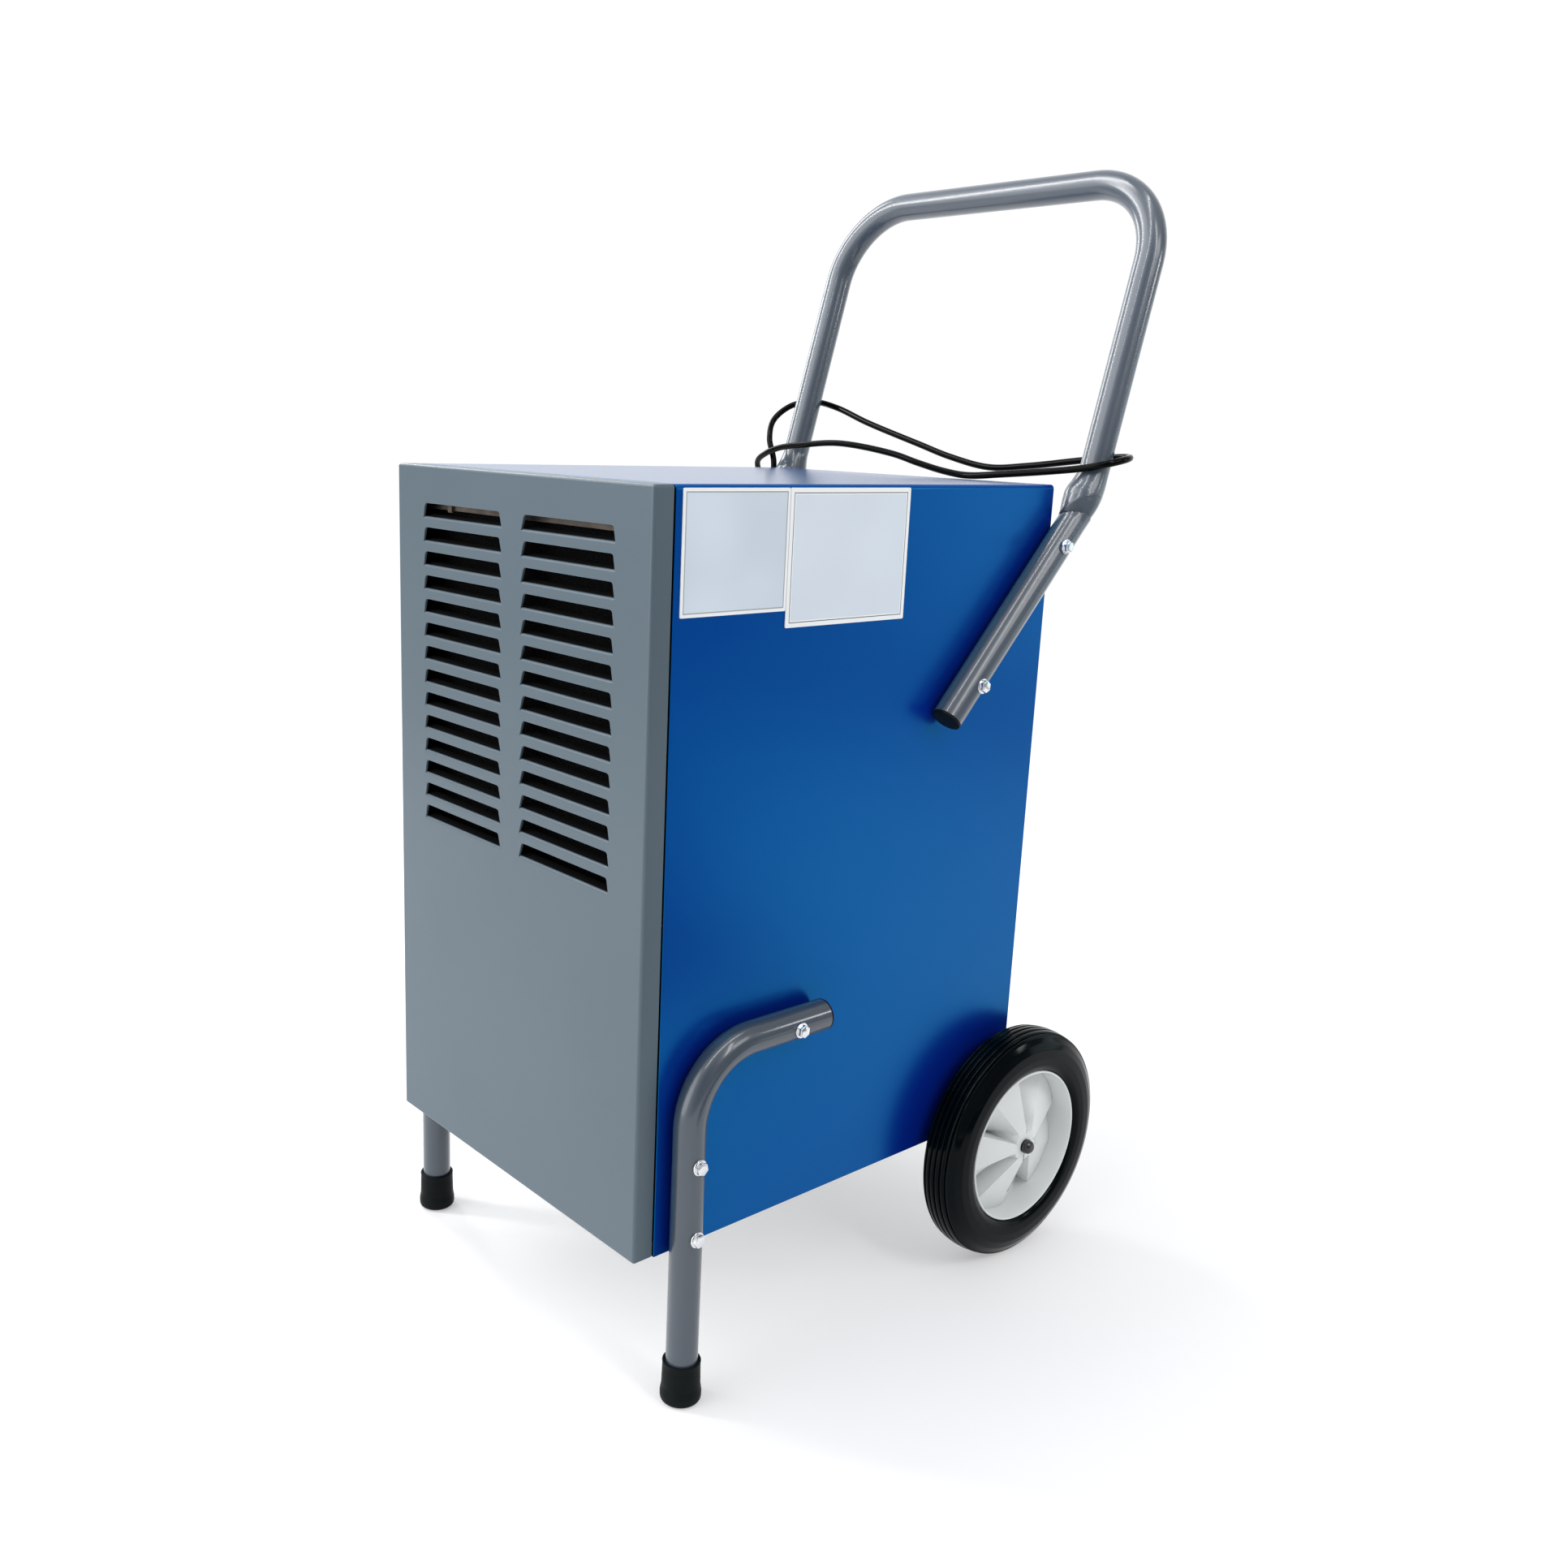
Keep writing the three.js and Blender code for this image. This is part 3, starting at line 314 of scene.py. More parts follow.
class Shape:
    """Faces gathered in millimetres, each with the number of its material."""

    def __init__(self):
        self.verts = []
        self.faces = []
        self.slots = []

    def add(self, verts, faces, slot=0):
        start = len(self.verts)
        self.verts += [Vector(v) for v in verts]
        self.faces += [[start + i for i in face] for face in faces]
        self.slots += [slot] * len(faces)
        return self

    def quad(self, *corners):
        return self.add(corners, [(0, 1, 2, 3)])

    def rings(self, rings, closed=True, caps=(True, True), slot=0):
        """A skin over rings of points, with flat ends unless caps leaves them out."""
        n = len(rings[0])
        verts = [p for ring in rings for p in ring]
        faces = []
        for i in range(len(rings) - 1):
            for k in range(n if closed else n - 1):
                a, b = i * n + k, i * n + (k + 1) % n
                faces.append((a, b, b + n, a + n))
        if caps[0]:
            faces.append(tuple(range(n))[::-1])
        if caps[1]:
            faces.append(tuple(range(len(verts) - n, len(verts))))
        return self.add(verts, faces, slot)

    def lathe(self, profile, segments=48, loop=False, slot=0):
        """A turned form about Z from (radius, height) points."""
        points = list(profile) + ([profile[0]] if loop else [])
        around = turns(segments)
        rings = [[(r * cos(t), r * sin(t), h) for t in around] for r, h in points]
        return self.rings(rings, caps=(False, False), slot=slot)

    def prism(self, outline, low, high, slot=0):
        """An outline in (x, y) between two heights."""
        return self.rings([[(x, y, z) for x, y in outline] for z in (low, high)], slot=slot)

    def box(self, low, high, slot=0):
        (x0, y0, z0), (x1, y1, z1) = low, high
        return self.prism([(x0, y0), (x1, y0), (x1, y1), (x0, y1)], z0, z1, slot)

    def join(self, other, place):
        """Another shape's faces, carried to their place."""
        verts = [place @ v for v in other.verts]
        start = len(self.verts)
        self.verts += verts
        self.faces += [[start + i for i in face] for face in other.faces]
        self.slots += other.slots
        return self

    def mesh(self, name, materials, sharp=35):
        """The finished mesh in metres; edges over sharp degrees stay sharp."""
        bm = bmesh.new()
        made = [bm.verts.new(v * MM) for v in self.verts]
        for face, slot in zip(self.faces, self.slots):
            corners = list(dict.fromkeys(made[i] for i in face))
            if len(corners) > 2:
                bm.faces.new(corners).material_index = slot
        bmesh.ops.remove_doubles(bm, verts=bm.verts, dist=2e-6)
        bmesh.ops.recalc_face_normals(bm, faces=bm.faces)
        mesh = bpy.data.meshes.new(name)
        bm.to_mesh(mesh)
        bm.free()
        for material in materials:
            mesh.materials.append(material)
        mesh.shade_smooth()
        mesh.set_sharp_from_angle(angle=radians(sharp))
        return mesh


def fillet(points, radius, steps=5, closed=False):
    """The same outline with its corners rounded; radius is one number, or one for each corner."""
    n = len(points)
    radii = [radius] * n if isinstance(radius, (int, float)) else radius
    made = []
    for i, point in enumerate(points):
        p = Vector(point)
        before = Vector(points[i - 1]) - p
        after = Vector(points[(i + 1) % n]) - p
        if radii[i] == 0 or (not closed and i in (0, n - 1)):
            made.append(tuple(p))
            continue
        u, v = before.normalized(), after.normalized()
        half = u.angle(v) / 2
        if half > radians(89):
            made.append(tuple(p))
            continue
        back = min(radii[i] / tan(half), 0.49 * before.length, 0.49 * after.length)
        centre = p + (u + v).normalized() * (back / cos(half))
        first, last = p + u * back - centre, p + v * back - centre
        a0 = atan2(first.y, first.x)
        turn = (atan2(last.y, last.x) - a0 + pi) % (2 * pi) - pi
        for k in range(steps + 1):
            a = a0 + turn * k / steps
            made.append(tuple(centre + first.length * Vector((cos(a), sin(a)))))
    return made


def circle(radius, sides):
    return [(radius * cos(t), radius * sin(t)) for t in turns(sides)]


def bent_path(corners, radii, step=5):
    """Stations (point, direction) along straights with round bends."""
    at = [Vector(c) for c in corners]
    ways = [(b - a).normalized() for a, b in zip(at, at[1:])]
    stations = [(at[0], ways[0])]
    for corner, before, after, radius in zip(at[1:-1], ways, ways[1:], radii):
        angle = before.angle(after)
        inward = (after - before * after.dot(before)).normalized()
        start = corner - before * radius * tan(angle / 2)
        steps = max(4, round(degrees(angle) / step))
        for k in range(steps + 1):
            a = angle * k / steps
            point = start + before * radius * sin(a) + inward * radius * (1 - cos(a))
            stations.append((point, before * cos(a) + inward * sin(a)))
    stations.append((at[-1], ways[-1]))
    return stations


def subdivided(stations, longest):
    """The same path with its long straights cut into shorter ones."""
    made = [stations[0]]
    for (a, _), (b, way) in zip(stations, stations[1:]):
        pieces = max(1, ceil((b - a).length / longest))
        made += [(a.lerp(b, k / pieces), way) for k in range(1, pieces + 1)]
    return made


def tube_rings(stations, radius_at, sides=40):
    """Rings square to the path; radius_at(point, outward) gives each point's distance from it."""
    way = stations[0][1]
    side = way.orthogonal().normalized()
    rings = []
    for point, direction in stations:
        side = (side - direction * side.dot(direction)).normalized()
        other = direction.cross(side)
        ring = []
        for t in turns(sides):
            outward = side * cos(t) + other * sin(t)
            ring.append(point + outward * radius_at(point, outward))
        rings.append(ring)
    return rings


def piece(name, mesh, body, stands_for=(), place=None):
    """Shows a mesh as a piece of that body, in the place of those CAD nodes."""
    made = added(name, mesh)
    if place:
        made.matrix_world = place
    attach(made, body)
    if stands_for:
        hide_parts(*stands_for)
    return made


def shown(name, shape, materials, body, stands_for=(), place=None, sharp=35):
    """Shows a shape as a piece whose mesh has the piece's own name."""
    return piece(name, shape.mesh(name, materials, sharp), body, stands_for, place)


def flat_shaded(made):
    """Keeps the flats of a piece flat between its rounded edges."""
    made.modifiers.new("normals", "WEIGHTED_NORMAL").keep_sharp = True


def rounded(made, width):
    """Rounds the edges of a piece or CAD node."""
    weld = made.modifiers.new("weld", "WELD")
    weld.merge_threshold = 0.00001
    bevel = made.modifiers.new("edges", "BEVEL")
    bevel.width = width * MM
    bevel.segments = 3
    bevel.limit_method = "ANGLE"
    bevel.angle_limit = radians(40)
    bevel.use_clamp_overlap = True
    flat_shaded(made)


def facing(way):
    """Turns local +Z to a direction."""
    return Vector(way).to_track_quat("Z", "Y").to_matrix().to_4x4()


def placed(*point):
    """Carries the origin to a point in millimetres."""
    return Matrix.Translation(Vector(point) * MM)


def turned_to(way, *point):
    """Carries local +Z to a direction, and the origin to a point in millimetres."""
    return placed(*point) @ facing(way)


# ---- mains lead

LEAD_RADIUS = 3.15
LEAD_EXIT = (GLAND_X, 202.3, CONTROL_Z)
LEAD_ROUTE = [
    LEAD_EXIT, (-130, 226, 436), (-132, 246, 443), (-141, 260, 465), (-160, 265, 515),
    (-184, 260, 575), (-210, 243, 630), (-231, 220, 672), (-240, 202, 700), (-233, 186, 720),
    (-213, 178.5, 730), (-188, 176.5, 737), (-153, 176.5, 741), (-103, 176, 744), (-25, 171, 736.5),
    (13, 167, 729), (50, 162, 723), (82, 158, 720.6), (120, 160, 723.5), (158, 171, 727.5),
    (187, 181, 731.5), (205.4, 188.6, 735.5), (213, 207, 740), (205.4, 225.4, 742), (187, 233, 741.5),
    (150, 234, 737.5), (90, 233, 730), (45, 232.5, 727), (-3, 232, 735), (-45, 232, 746),
    (-118, 232.5, 765.5), (-165, 234, 780), (-200, 234.5, 785.5), (-225, 225, 781), (-232, 207, 766),
    (-222, 192, 746), (-208, 186.5, 722), (-207, 184.5, 690), (-209, 183, 600), (-209, 183, 330),
]


def through(points, per_span=9):
    """A smooth curve through the points (a centripetal Catmull-Rom spline)."""
    at = [Vector(p) for p in points]
    at = [at[0] * 2 - at[1], *at, at[-1] * 2 - at[-2]]
    line = []
    for a, b, c, d in zip(at, at[1:], at[2:], at[3:]):
        t1 = sqrt((b - a).length)
        t2 = t1 + sqrt((c - b).length)
        t3 = t2 + sqrt((d - c).length)
        for k in range(per_span):
            t = t1 + (t2 - t1) * k / per_span
            p = a.lerp(b, t / t1)
            q = b.lerp(c, (t - t1) / (t2 - t1))
            r = c.lerp(d, (t - t2) / (t3 - t2))
            pq = p.lerp(q, t / t2)
            qr = q.lerp(r, (t - t1) / (t3 - t1))
            line.append(pq.lerp(qr, (t - t1) / (t2 - t1)))
    return line + [at[-2]]


def cord_curve(name, line):
    """A round cord along a line of points, as one open spline."""
    data = bpy.data.curves.new(name, "CURVE")
    data.dimensions = "3D"
    data.bevel_depth = LEAD_RADIUS * MM
    data.bevel_resolution = 5
    data.use_fill_caps = True
    spline = data.splines.new("POLY")
    spline.points.add(len(line) - 1)
    for point, at in zip(spline.points, line):
        point.co = (*(at * MM), 1)
    spline.use_smooth = True
    data.materials.append(CORD)
    return data


PIN_X = 9.5


def plug_mesh():
    """A plug that hangs from the lead's end at z = 0, with a ribbed neck and two pins."""
    shape = Shape()
    body = fillet([(0, -62), (17, -62), (18.5, -59), (18.5, -44), (15, -34), (8, -28), (6.5, -24),
                   (LEAD_RADIUS + 1, -0.3), (0, -0.3)], [0, 1.2, 1.5, 4, 6, 3, 3, 0.8, 0])
    shape.lathe(body, 64)
    for z in (-22, -17.5, -13, -8.5):
        grip = 6.3 + (z + 24) * (-2.2 / 24)
        rib = [(0, z - 1), (grip + 0.5, z - 1), (grip + 0.8, z), (grip + 0.5, z + 1), (0, z + 1)]
        shape.lathe(rib, 32)
    pin = Shape().lathe([(0, -81), (1.6, -80.5), (2.4, -79), (2.4, -61), (0, -61)], 20, slot=1)
    for x in (PIN_X, -PIN_X):
        shape.join(pin, Matrix.Translation((x, 0, 0)))
    return shape.mesh("plug", [RUBBER, ZINC])


def gland_mesh():
    """A nut and flange on the panel with a tapered, ribbed strain relief."""
    shape = Shape()
    shape.prism(fillet(circle(13, 6), 1.5, 3, True), 0.3, 6)
    shape.lathe(fillet([(0, -13.8), (11, -13.8), (11, -2.4), (8, -2.4), (8, 0.3), (12.4, 0.3),
                        (12.4, 6), (9, 10), (7.5, 11), (0, 11)], 0.8, 3), 40)
    rib_pitch = 3.2
    for k in range(9):
        low, ridge, high = 11 + rib_pitch * k, 13 + rib_pitch * k, 11 + rib_pitch * (k + 1)
        r = 7.2 - 0.34 * k
        rib = [(0, low), (r, low), (r, ridge), (r - 0.9, ridge), (r - 0.9, high), (0, high)]
        shape.lathe(fillet(rib, 0.3, 2), 32)
    return shape.mesh("cord_gland", [BLACK_PLASTIC])


def make_lead():
    line = through(LEAD_ROUTE)
    lead = piece("mains_lead", cord_curve("mains_lead", line), "cabinet", ["power_lead"])
    plug = piece("mains_plug", plug_mesh(), "cabinet", ["plug"], placed(*line[-1]))
    gland = piece("cable_gland", gland_mesh(), "cabinet", ["cord_gland"],
                  turned_to(BACKWARD, GLAND_X, REAR, CONTROL_Z))


make_lead()


# ---- front panel

LOUVRE_ROWS, LOUVRE_PITCH, LOUVRE_HEIGHT, LOUVRE_TOP = 14, 20, 11, 686
COLUMN_INNER, COLUMN_OUTER, COLUMN_MIDDLE, ROW_ABOVE = 7, 142, 73, 15.5
FOLD, LIP = 2.6, 0.7
FLAP_LEAN, FLAP_BEND, FLAP_DROP, FLAP_LENGTH = 74, 2.4, 2.2, 7.5
SLOT_OUTLINE = [
    (13.7, 0, 3), (132.6, 0, 0),
    (130.6, 8.0, 1), (130.4, 9.2, 1), (129.5, 10.4, 1), (127.9, 11, 1),
    (19.4, 11, 2), (17.8, 10.4, 2), (16.9, 9.2, 2), (16.7, 8.0, 2),
]


def flap_bend(lean, z0):
    """Depth and height on the bend between the face and a louvre's flap."""
    turn = radians(lean)
    return FLAP_BEND * (1 - cos(turn)), z0 - FLAP_DROP + FLAP_BEND * sin(turn)


def slot_loops(z0, steps=6):
    """Loops of (distance from the middle, depth, height) from the flat face over the rolled lip
    and into the slot. The outline's third number is the corner of the cell that a point joins."""
    loops = []
    for step in range(steps + 1):
        part = step / steps
        t = radians(90 * part)
        out = LIP * (1 - sin(t))
        loop = []
        for u, z, _ in SLOT_OUTLINE:
            side = out if u > COLUMN_MIDDLE else -out
            if z == 0:
                loop.append((u + side, *flap_bend(FLAP_LEAN * part, z0)))
            else:
                loop.append((u + side, LIP * (1 - cos(t)), z0 + z + (out if z > 8.5 else 0)))
        loops.append(loop)
    return loops


def add_slot(shape, side, z0, cell):
    """One louvre: the face round it, its lip, and its flap folded in behind it, the flap in near-black
    painted shade.
    """
    (u0, u1), (low, high) = cell
    corners = [(u1, low), (u1, high), (u0, high), (u0, low)]
    rings = [[(side * corners[c][0], FRONT, corners[c][1]) for _, _, c in SLOT_OUTLINE]]
    rings += [[(side * u, FRONT + y, z) for u, y, z in loop] for loop in slot_loops(z0)]
    inside = [(x, FRONT + 2, z) for x, _, z in rings[-1][2:]]
    rings.append(rings[-1][:2] + inside)
    shape.rings(rings, caps=(False, False))
    lean = radians(FLAP_LEAN)
    way = Vector((0, sin(lean), cos(lean)))
    out = Vector((0, -cos(lean), sin(lean)))
    depth, height = flap_bend(FLAP_LEAN, z0)
    root = Vector((0, FRONT + depth, height))
    tip = root + way * FLAP_LENGTH
    # Points of the flap's section, each with how far in from the root's width its ends lie.
    section = [(root, 0), (root + way * 3, 0.7), (tip - way * 0.4, 1.7), (tip - out * 0.4, 1.9),
               (tip - out * 1.2, 1.9), (root - out * 1.4, 0)]
    # The flap takes the near-black material: painted shade inside the louvre.
    shape.rings([[(side * (13.9 + narrow), p.y, p.z) for p, narrow in section],
                 [(side * (132.4 - narrow), p.y, p.z) for p, narrow in section]], slot=1)


def front_panel():
    """The grey tray: its flat with the louvres cut in, and its edge rolled back round the border."""
    shape = Shape()
    edge = HALF_WIDTH - FOLD
    low_edge, high_edge = BOTTOM + FOLD, TOP - FOLD
    columns = [-edge, -COLUMN_OUTER, -COLUMN_INNER, COLUMN_INNER, COLUMN_OUTER, edge]
    first = LOUVRE_TOP - LOUVRE_HEIGHT
    bands = [first + ROW_ABOVE - LOUVRE_PITCH * k for k in range(LOUVRE_ROWS + 1)]

    def flat(x0, x1, z0, z1):
        shape.quad((x0, FRONT, z0), (x1, FRONT, z0), (x1, FRONT, z1), (x0, FRONT, z1))

    for x0, x1 in zip(columns, columns[1:]):
        flat(x0, x1, low_edge, bands[-1])
        flat(x0, x1, bands[0], high_edge)
    for row, (high, low) in enumerate(zip(bands, bands[1:])):
        for x0, x1 in zip(columns[::2], columns[1::2]):
            flat(x0, x1, low, high)
        for side in (1, -1):
            cell = ((COLUMN_INNER, COLUMN_OUTER), (low, high))
            add_slot(shape, side, first - LOUVRE_PITCH * row, cell)
    levels = [low_edge, *reversed(bands), high_edge]
    fan = [radians(90 * k / 5) for k in range(6)]
    border = [((x, low_edge), (0, -1)) for x in columns[1:-1]]
    border += [((edge, low_edge), (sin(t), -cos(t))) for t in fan]
    border += [((edge, z), (1, 0)) for z in levels[1:-1]]
    border += [((edge, high_edge), (cos(t), sin(t))) for t in fan]
    border += [((x, high_edge), (0, 1)) for x in reversed(columns[1:-1])]
    border += [((-edge, high_edge), (-sin(t), cos(t))) for t in fan]
    border += [((-edge, z), (-1, 0)) for z in reversed(levels[1:-1])]
    border += [((-edge, low_edge), (-cos(t), -sin(t))) for t in fan]
    fold = [radians(90 * k / 8) for k in range(9)]
    profile = [(FOLD * sin(t), FOLD * (1 - cos(t))) for t in fold]
    profile += [(FOLD, TRAY_DEPTH - 0.4), (FOLD - 0.2, TRAY_DEPTH - 0.1), (FOLD - 0.5, TRAY_DEPTH),
                (FOLD - 2, TRAY_DEPTH), (FOLD - 2, 2)]
    rings = [[(x + nx * out, FRONT + depth, z + nz * out) for (x, z), (nx, nz) in border]
             for out, depth in profile]
    shape.rings(rings, caps=(False, False))
    # Slot 1, the louvre flaps, is the near-black painted shade.
    flat_shaded(shown("louvred_front", shape, [GREY, PAINTED_SHADE_INSIDE], "cabinet", ["front_panel"],
                      sharp=50))


front_panel()


# ---- blue casing and labels

def blue_casing():
    """The blue sheet over both sides and the top, with a near-black lap strip behind the joint at its
    front; the strip, the inner faces and the front edge carry painted shade, and the top takes a lit copy
    of the blue paint.
    """
    start = FRONT + TRAY_DEPTH + SEAM

    def arch(inset, radius):
        half, top = HALF_WIDTH - inset, TOP - inset
        return fillet([(half, BOTTOM), (half, top), (-half, top), (-half, BOTTOM)], radius, 8)

    soft = 0.35
    outer, inner, soft_outer = arch(0, 4), arch(2, 2), arch(soft, 4 - soft)
    stations = [(start, soft_outer), (start + soft, outer), (REAR - soft, outer), (REAR, soft_outer)]
    rings = [[(x, y, z) for x, z in profile] for y, profile in stations]
    shape = Shape()
    shape.rings(rings, closed=False, caps=(False, False))
    # Painted shade: the inner faces and the front edge are near black.
    inside = [[(x, y, z) for x, z in inner] for y in (start, REAR)]
    shape.rings(inside, closed=False, caps=(False, False), slot=2)
    for y, ring, slot in ((start, rings[0], 2), (REAR, rings[-1], 0)):
        shape.rings([ring, [(x, y, z) for x, z in inner]], closed=False, caps=(False, False), slot=slot)
    for side in (0, -1):
        shape.quad(rings[0][side], rings[-1][side], inside[1][side], inside[0][side])
    # The lap strip is a near-black sheet: painted shade behind the joint.
    low, high = FRONT + 8, start + 16
    strip = [(2.4, low), (2.4, high), (3.6, high), (3.6, low), (2.4, low)]
    lap = [[(x, y, z) for x, z in arch(inset, 2)] for inset, y in strip]
    shape.rings(lap, closed=False, caps=(False, False), slot=2)
    mesh = shape.mesh("blue_casing", [BLUE, BLUE_TOP_LIT_COPY, PAINTED_SHADE_INSIDE], 40)
    # Upward faces take the top's lit copy of the blue paint: painted light.
    for face in mesh.polygons:
        if face.normal.z > 0.99 and face.material_index == 0:
            face.material_index = 1
    flat_shaded(piece("blue_casing", mesh, "cabinet", ["cabinet_casing"]))


LABEL_PROUD, LABEL_EASE = 0.9, 0.15


def label(name, field, y0, y1, z0, z1, frames):
    """A blank sticker: frames, each out to its inset with its material, round the field."""
    x = HALF_WIDTH + LABEL_PROUD
    shape = Shape()

    def ring(inset, depth=0.0):
        corners = [(y0 + inset, z0 + inset), (y1 - inset, z0 + inset),
                   (y1 - inset, z1 - inset), (y0 + inset, z1 - inset)]
        outline = fillet(corners, max(0.2, 1.2 - inset), 3, True)
        return [(x - depth, y, z) for y, z in outline]

    shape.rings([ring(0, 0.8), ring(0, LABEL_EASE), ring(LABEL_EASE)], caps=(True, False))
    last = LABEL_EASE
    for inset, slot in frames:
        shape.rings([ring(last), ring(inset)], caps=(False, False), slot=slot)
        last = inset
    shape.rings([ring(last), ring(last + 1)], caps=(False, True), slot=1)
    shown(name, shape, [LABEL_WHITE, field, LABEL_LINE, LABEL_PALE_LINE], "cabinet",
          [name.replace("sticker", "side_label")])


blue_casing()
LABEL_TOP = 714.5
label("sticker_forward", LABEL, -258.5, -156, 624, LABEL_TOP, [(2.4, 0), (3.3, 3)])
label("sticker_rearward", LABEL_REAR, -155.6, -24.6, 611, LABEL_TOP, [(3.4, 0), (4.1, 2), (5.0, 0)])


# ---- handle, legs and screws

CRUSH_DEPTH, CRUSH_REACH, BULGE_REACH, BULGE_DROP = 7, 45, 29, 3
STEP_SLANT, STEP_LOW, CREASE_SLANT, CREASE_LOW = 14, 32, 43, 31
BORE_DEPTH = 12


def crushed_radius(point, outward, elbow):
    """How far a crushed bend moves the tube's wall: out into the corner, and in from a slanting
    crease down to a short step."""
    rise = copysign((point - elbow).length, point.z - elbow.z)
    across = Vector((copysign(0.65, elbow.x), 0.76, 0))
    around = (1 + outward.dot(across)) / 2
    step, crease = STEP_SLANT * around - STEP_LOW, CREASE_SLANT * around - CREASE_LOW
    bulge = max(0, 1 - ((rise + BULGE_DROP) / BULGE_REACH) ** 2) ** 2
    moved = CRUSH_DEPTH * (1 - around) * bulge
    if step < rise < crease:
        moved -= CRUSH_DEPTH * (1 - around ** 2) * (crease - rise) / (crease - step)
    return moved


def dense_near(stations, elbows):
    """The same path with stations 1.2 mm apart near the crushed bends."""
    dense = []
    for (a, way_a), (b, way_b) in zip(stations, stations[1:]):
        close = min((a.lerp(b, 0.5) - elbow).length for elbow in elbows) < CRUSH_REACH
        parts = max(1, ceil((b - a).length / (1.2 if close else 40)))
        for k in range(parts):
            dense.append((a.lerp(b, k / parts), way_a.lerp(way_b, k / parts).normalized()))
    return dense + [stations[-1]]


def tube_shape(corners, radii, crushed=(), sides=40):
    """A round tube with open mouths; crushed lists the corners whose bends are crushed."""
    elbows = [Vector(corners[i]) for i in crushed]
    stations = subdivided(bent_path(corners, radii), 25)
    if elbows:
        stations = dense_near(stations, elbows)

    def radius_at(point, outward):
        return TUBE_RADIUS + sum(crushed_radius(point, outward, elbow) for elbow in elbows)

    rings = tube_rings(stations, radius_at, sides)
    shape = Shape().rings(rings, caps=(False, False))
    for (point, way), ring, sign in ((stations[0], rings[0], -1), (stations[-1], rings[-1], 1)):
        mouth = [point + (p - point) * (BORE_RADIUS / TUBE_RADIUS) for p in ring]
        shape.rings([ring, mouth, [p - way * sign * BORE_DEPTH for p in mouth]], caps=(False, True))
    return shape


def stopper_shape():
    """A push-in stopper with a thin flange and a shallow dome."""
    outline = [(0, -12), (10.6, -12), (10.6, 0.2), (12.9, 0.2), (12.9, 2), (10.5, 2.6), (0, 2.9)]
    return Shape().lathe(fillet(outline, [0, 1, 0, 0.5, 0.8, 2, 0], 4), 48)


def foot_shape():
    """A rubber foot with a rolled rim, open at its top."""
    return Shape().lathe(fillet(
        [(0, 0), (16.6, 0), (16.7, 8), (15.7, 14), (15.3, 32), (15.6, 35.5), (13.3, 35.5), (13.3, 24)],
        [0, 4, 4, 6, 3, 0.9, 0.6, 0], 5), 64)


def screw_shape():
    """A hexagon screw with a washer, standing on z = 0."""
    shape = Shape().lathe(fillet([(0, 0), (6.4, 0), (6.4, 1.2), (0, 1.2)], [0, 0.3, 0.3, 0], 3), 40)
    corner = 4.7 / cos(radians(30))
    rings = []
    for height, share in ((1.2, 0.95), (1.5, 1), (4.4, 1), (4.9, 0.93), (5.1, 0.8)):
        hexagon = fillet(circle(corner * share, 6), 0.7, 3, True)
        rings.append([(x, y, height) for x, y in hexagon])
    return shape.rings(rings)


def nut_shape():
    """The nut on the inside of the cabinet wall."""
    nut = Shape().prism(fillet(circle(6, 6), 0.7, 3, True), -5.2, -0.3)
    return nut.lathe([(0, -8), (2.6, -8), (3, -7.4), (3, 0), (0, 0)], 20)


def make_tubes():
    upright = (HANDLE_END, HANDLE_ELBOW, HANDLE_TOP)
    corners = [(TUBE_X, y, z) for y, z in upright] + [(-TUBE_X, y, z) for y, z in reversed(upright)]
    handle = tube_shape(corners, HANDLE_BENDS, crushed=(1, 4), sides=72)
    shown("bent_handle", handle, [TUBE], "cabinet", ["handle_tube"], sharp=28)
    stopper = stopper_shape().mesh("stopper", [BLACK_PLASTIC])
    foot = foot_shape().mesh("rubber_foot", [RUBBER])
    screw = screw_shape().mesh("hex_screw", [ZINC], 25)
    nut = nut_shape().mesh("hex_nut", [ZINC], 25)
    for name, side in SIDES:
        x = side * TUBE_X
        leg = tube_shape([(x, LEG_Y, LEG_FOOT_Z), (x, LEG_Y, LEG_TOP_Z), (x, LEG_END_Y, LEG_TOP_Z)],
                         [LEG_BEND])
        shown(f"bent_leg_{name}", leg, [SHADED_LEG_ENAMEL], "cabinet", [f"leg_tube_{name}"])
        down = (0, HANDLE_END[0] - HANDLE_ELBOW[0], HANDLE_END[1] - HANDLE_ELBOW[1])
        piece(f"handle_stopper_{name}", stopper, "cabinet", [f"handle_plug_{name}"],
              turned_to(down, x, *HANDLE_END))
        piece(f"leg_stopper_{name}", stopper, "cabinet", [f"leg_plug_{name}"],
              turned_to(BACKWARD, x, LEG_END_Y, LEG_TOP_Z))
        piece(f"rubber_foot_{name}", foot, "cabinet", [f"foot_{name}"], placed(x, LEG_Y, 0))
        head_x, nut_x = side * (TUBE_X + TUBE_RADIUS - 0.2), side * (HALF_WIDTH - 2)
        for group, places in (("handle", HANDLE_SCREWS), ("leg", LEG_SCREWS)):
            for k, (y, z) in enumerate(places, 1):
                turn = Matrix.Rotation(radians(17 * k + 9), 4, "Z")
                piece(f"{group}_screw_{name}_{k}", screw, "cabinet", [f"{group}_bolt_{name}_{k}"],
                      turned_to((side, 0, 0), head_x, y, z) @ turn)
                piece(f"{group}_nut_{name}_{k}", nut, "cabinet", (),
                      turned_to((side, 0, 0), nut_x, y, z) @ turn)


make_tubes()


# ---- wheels

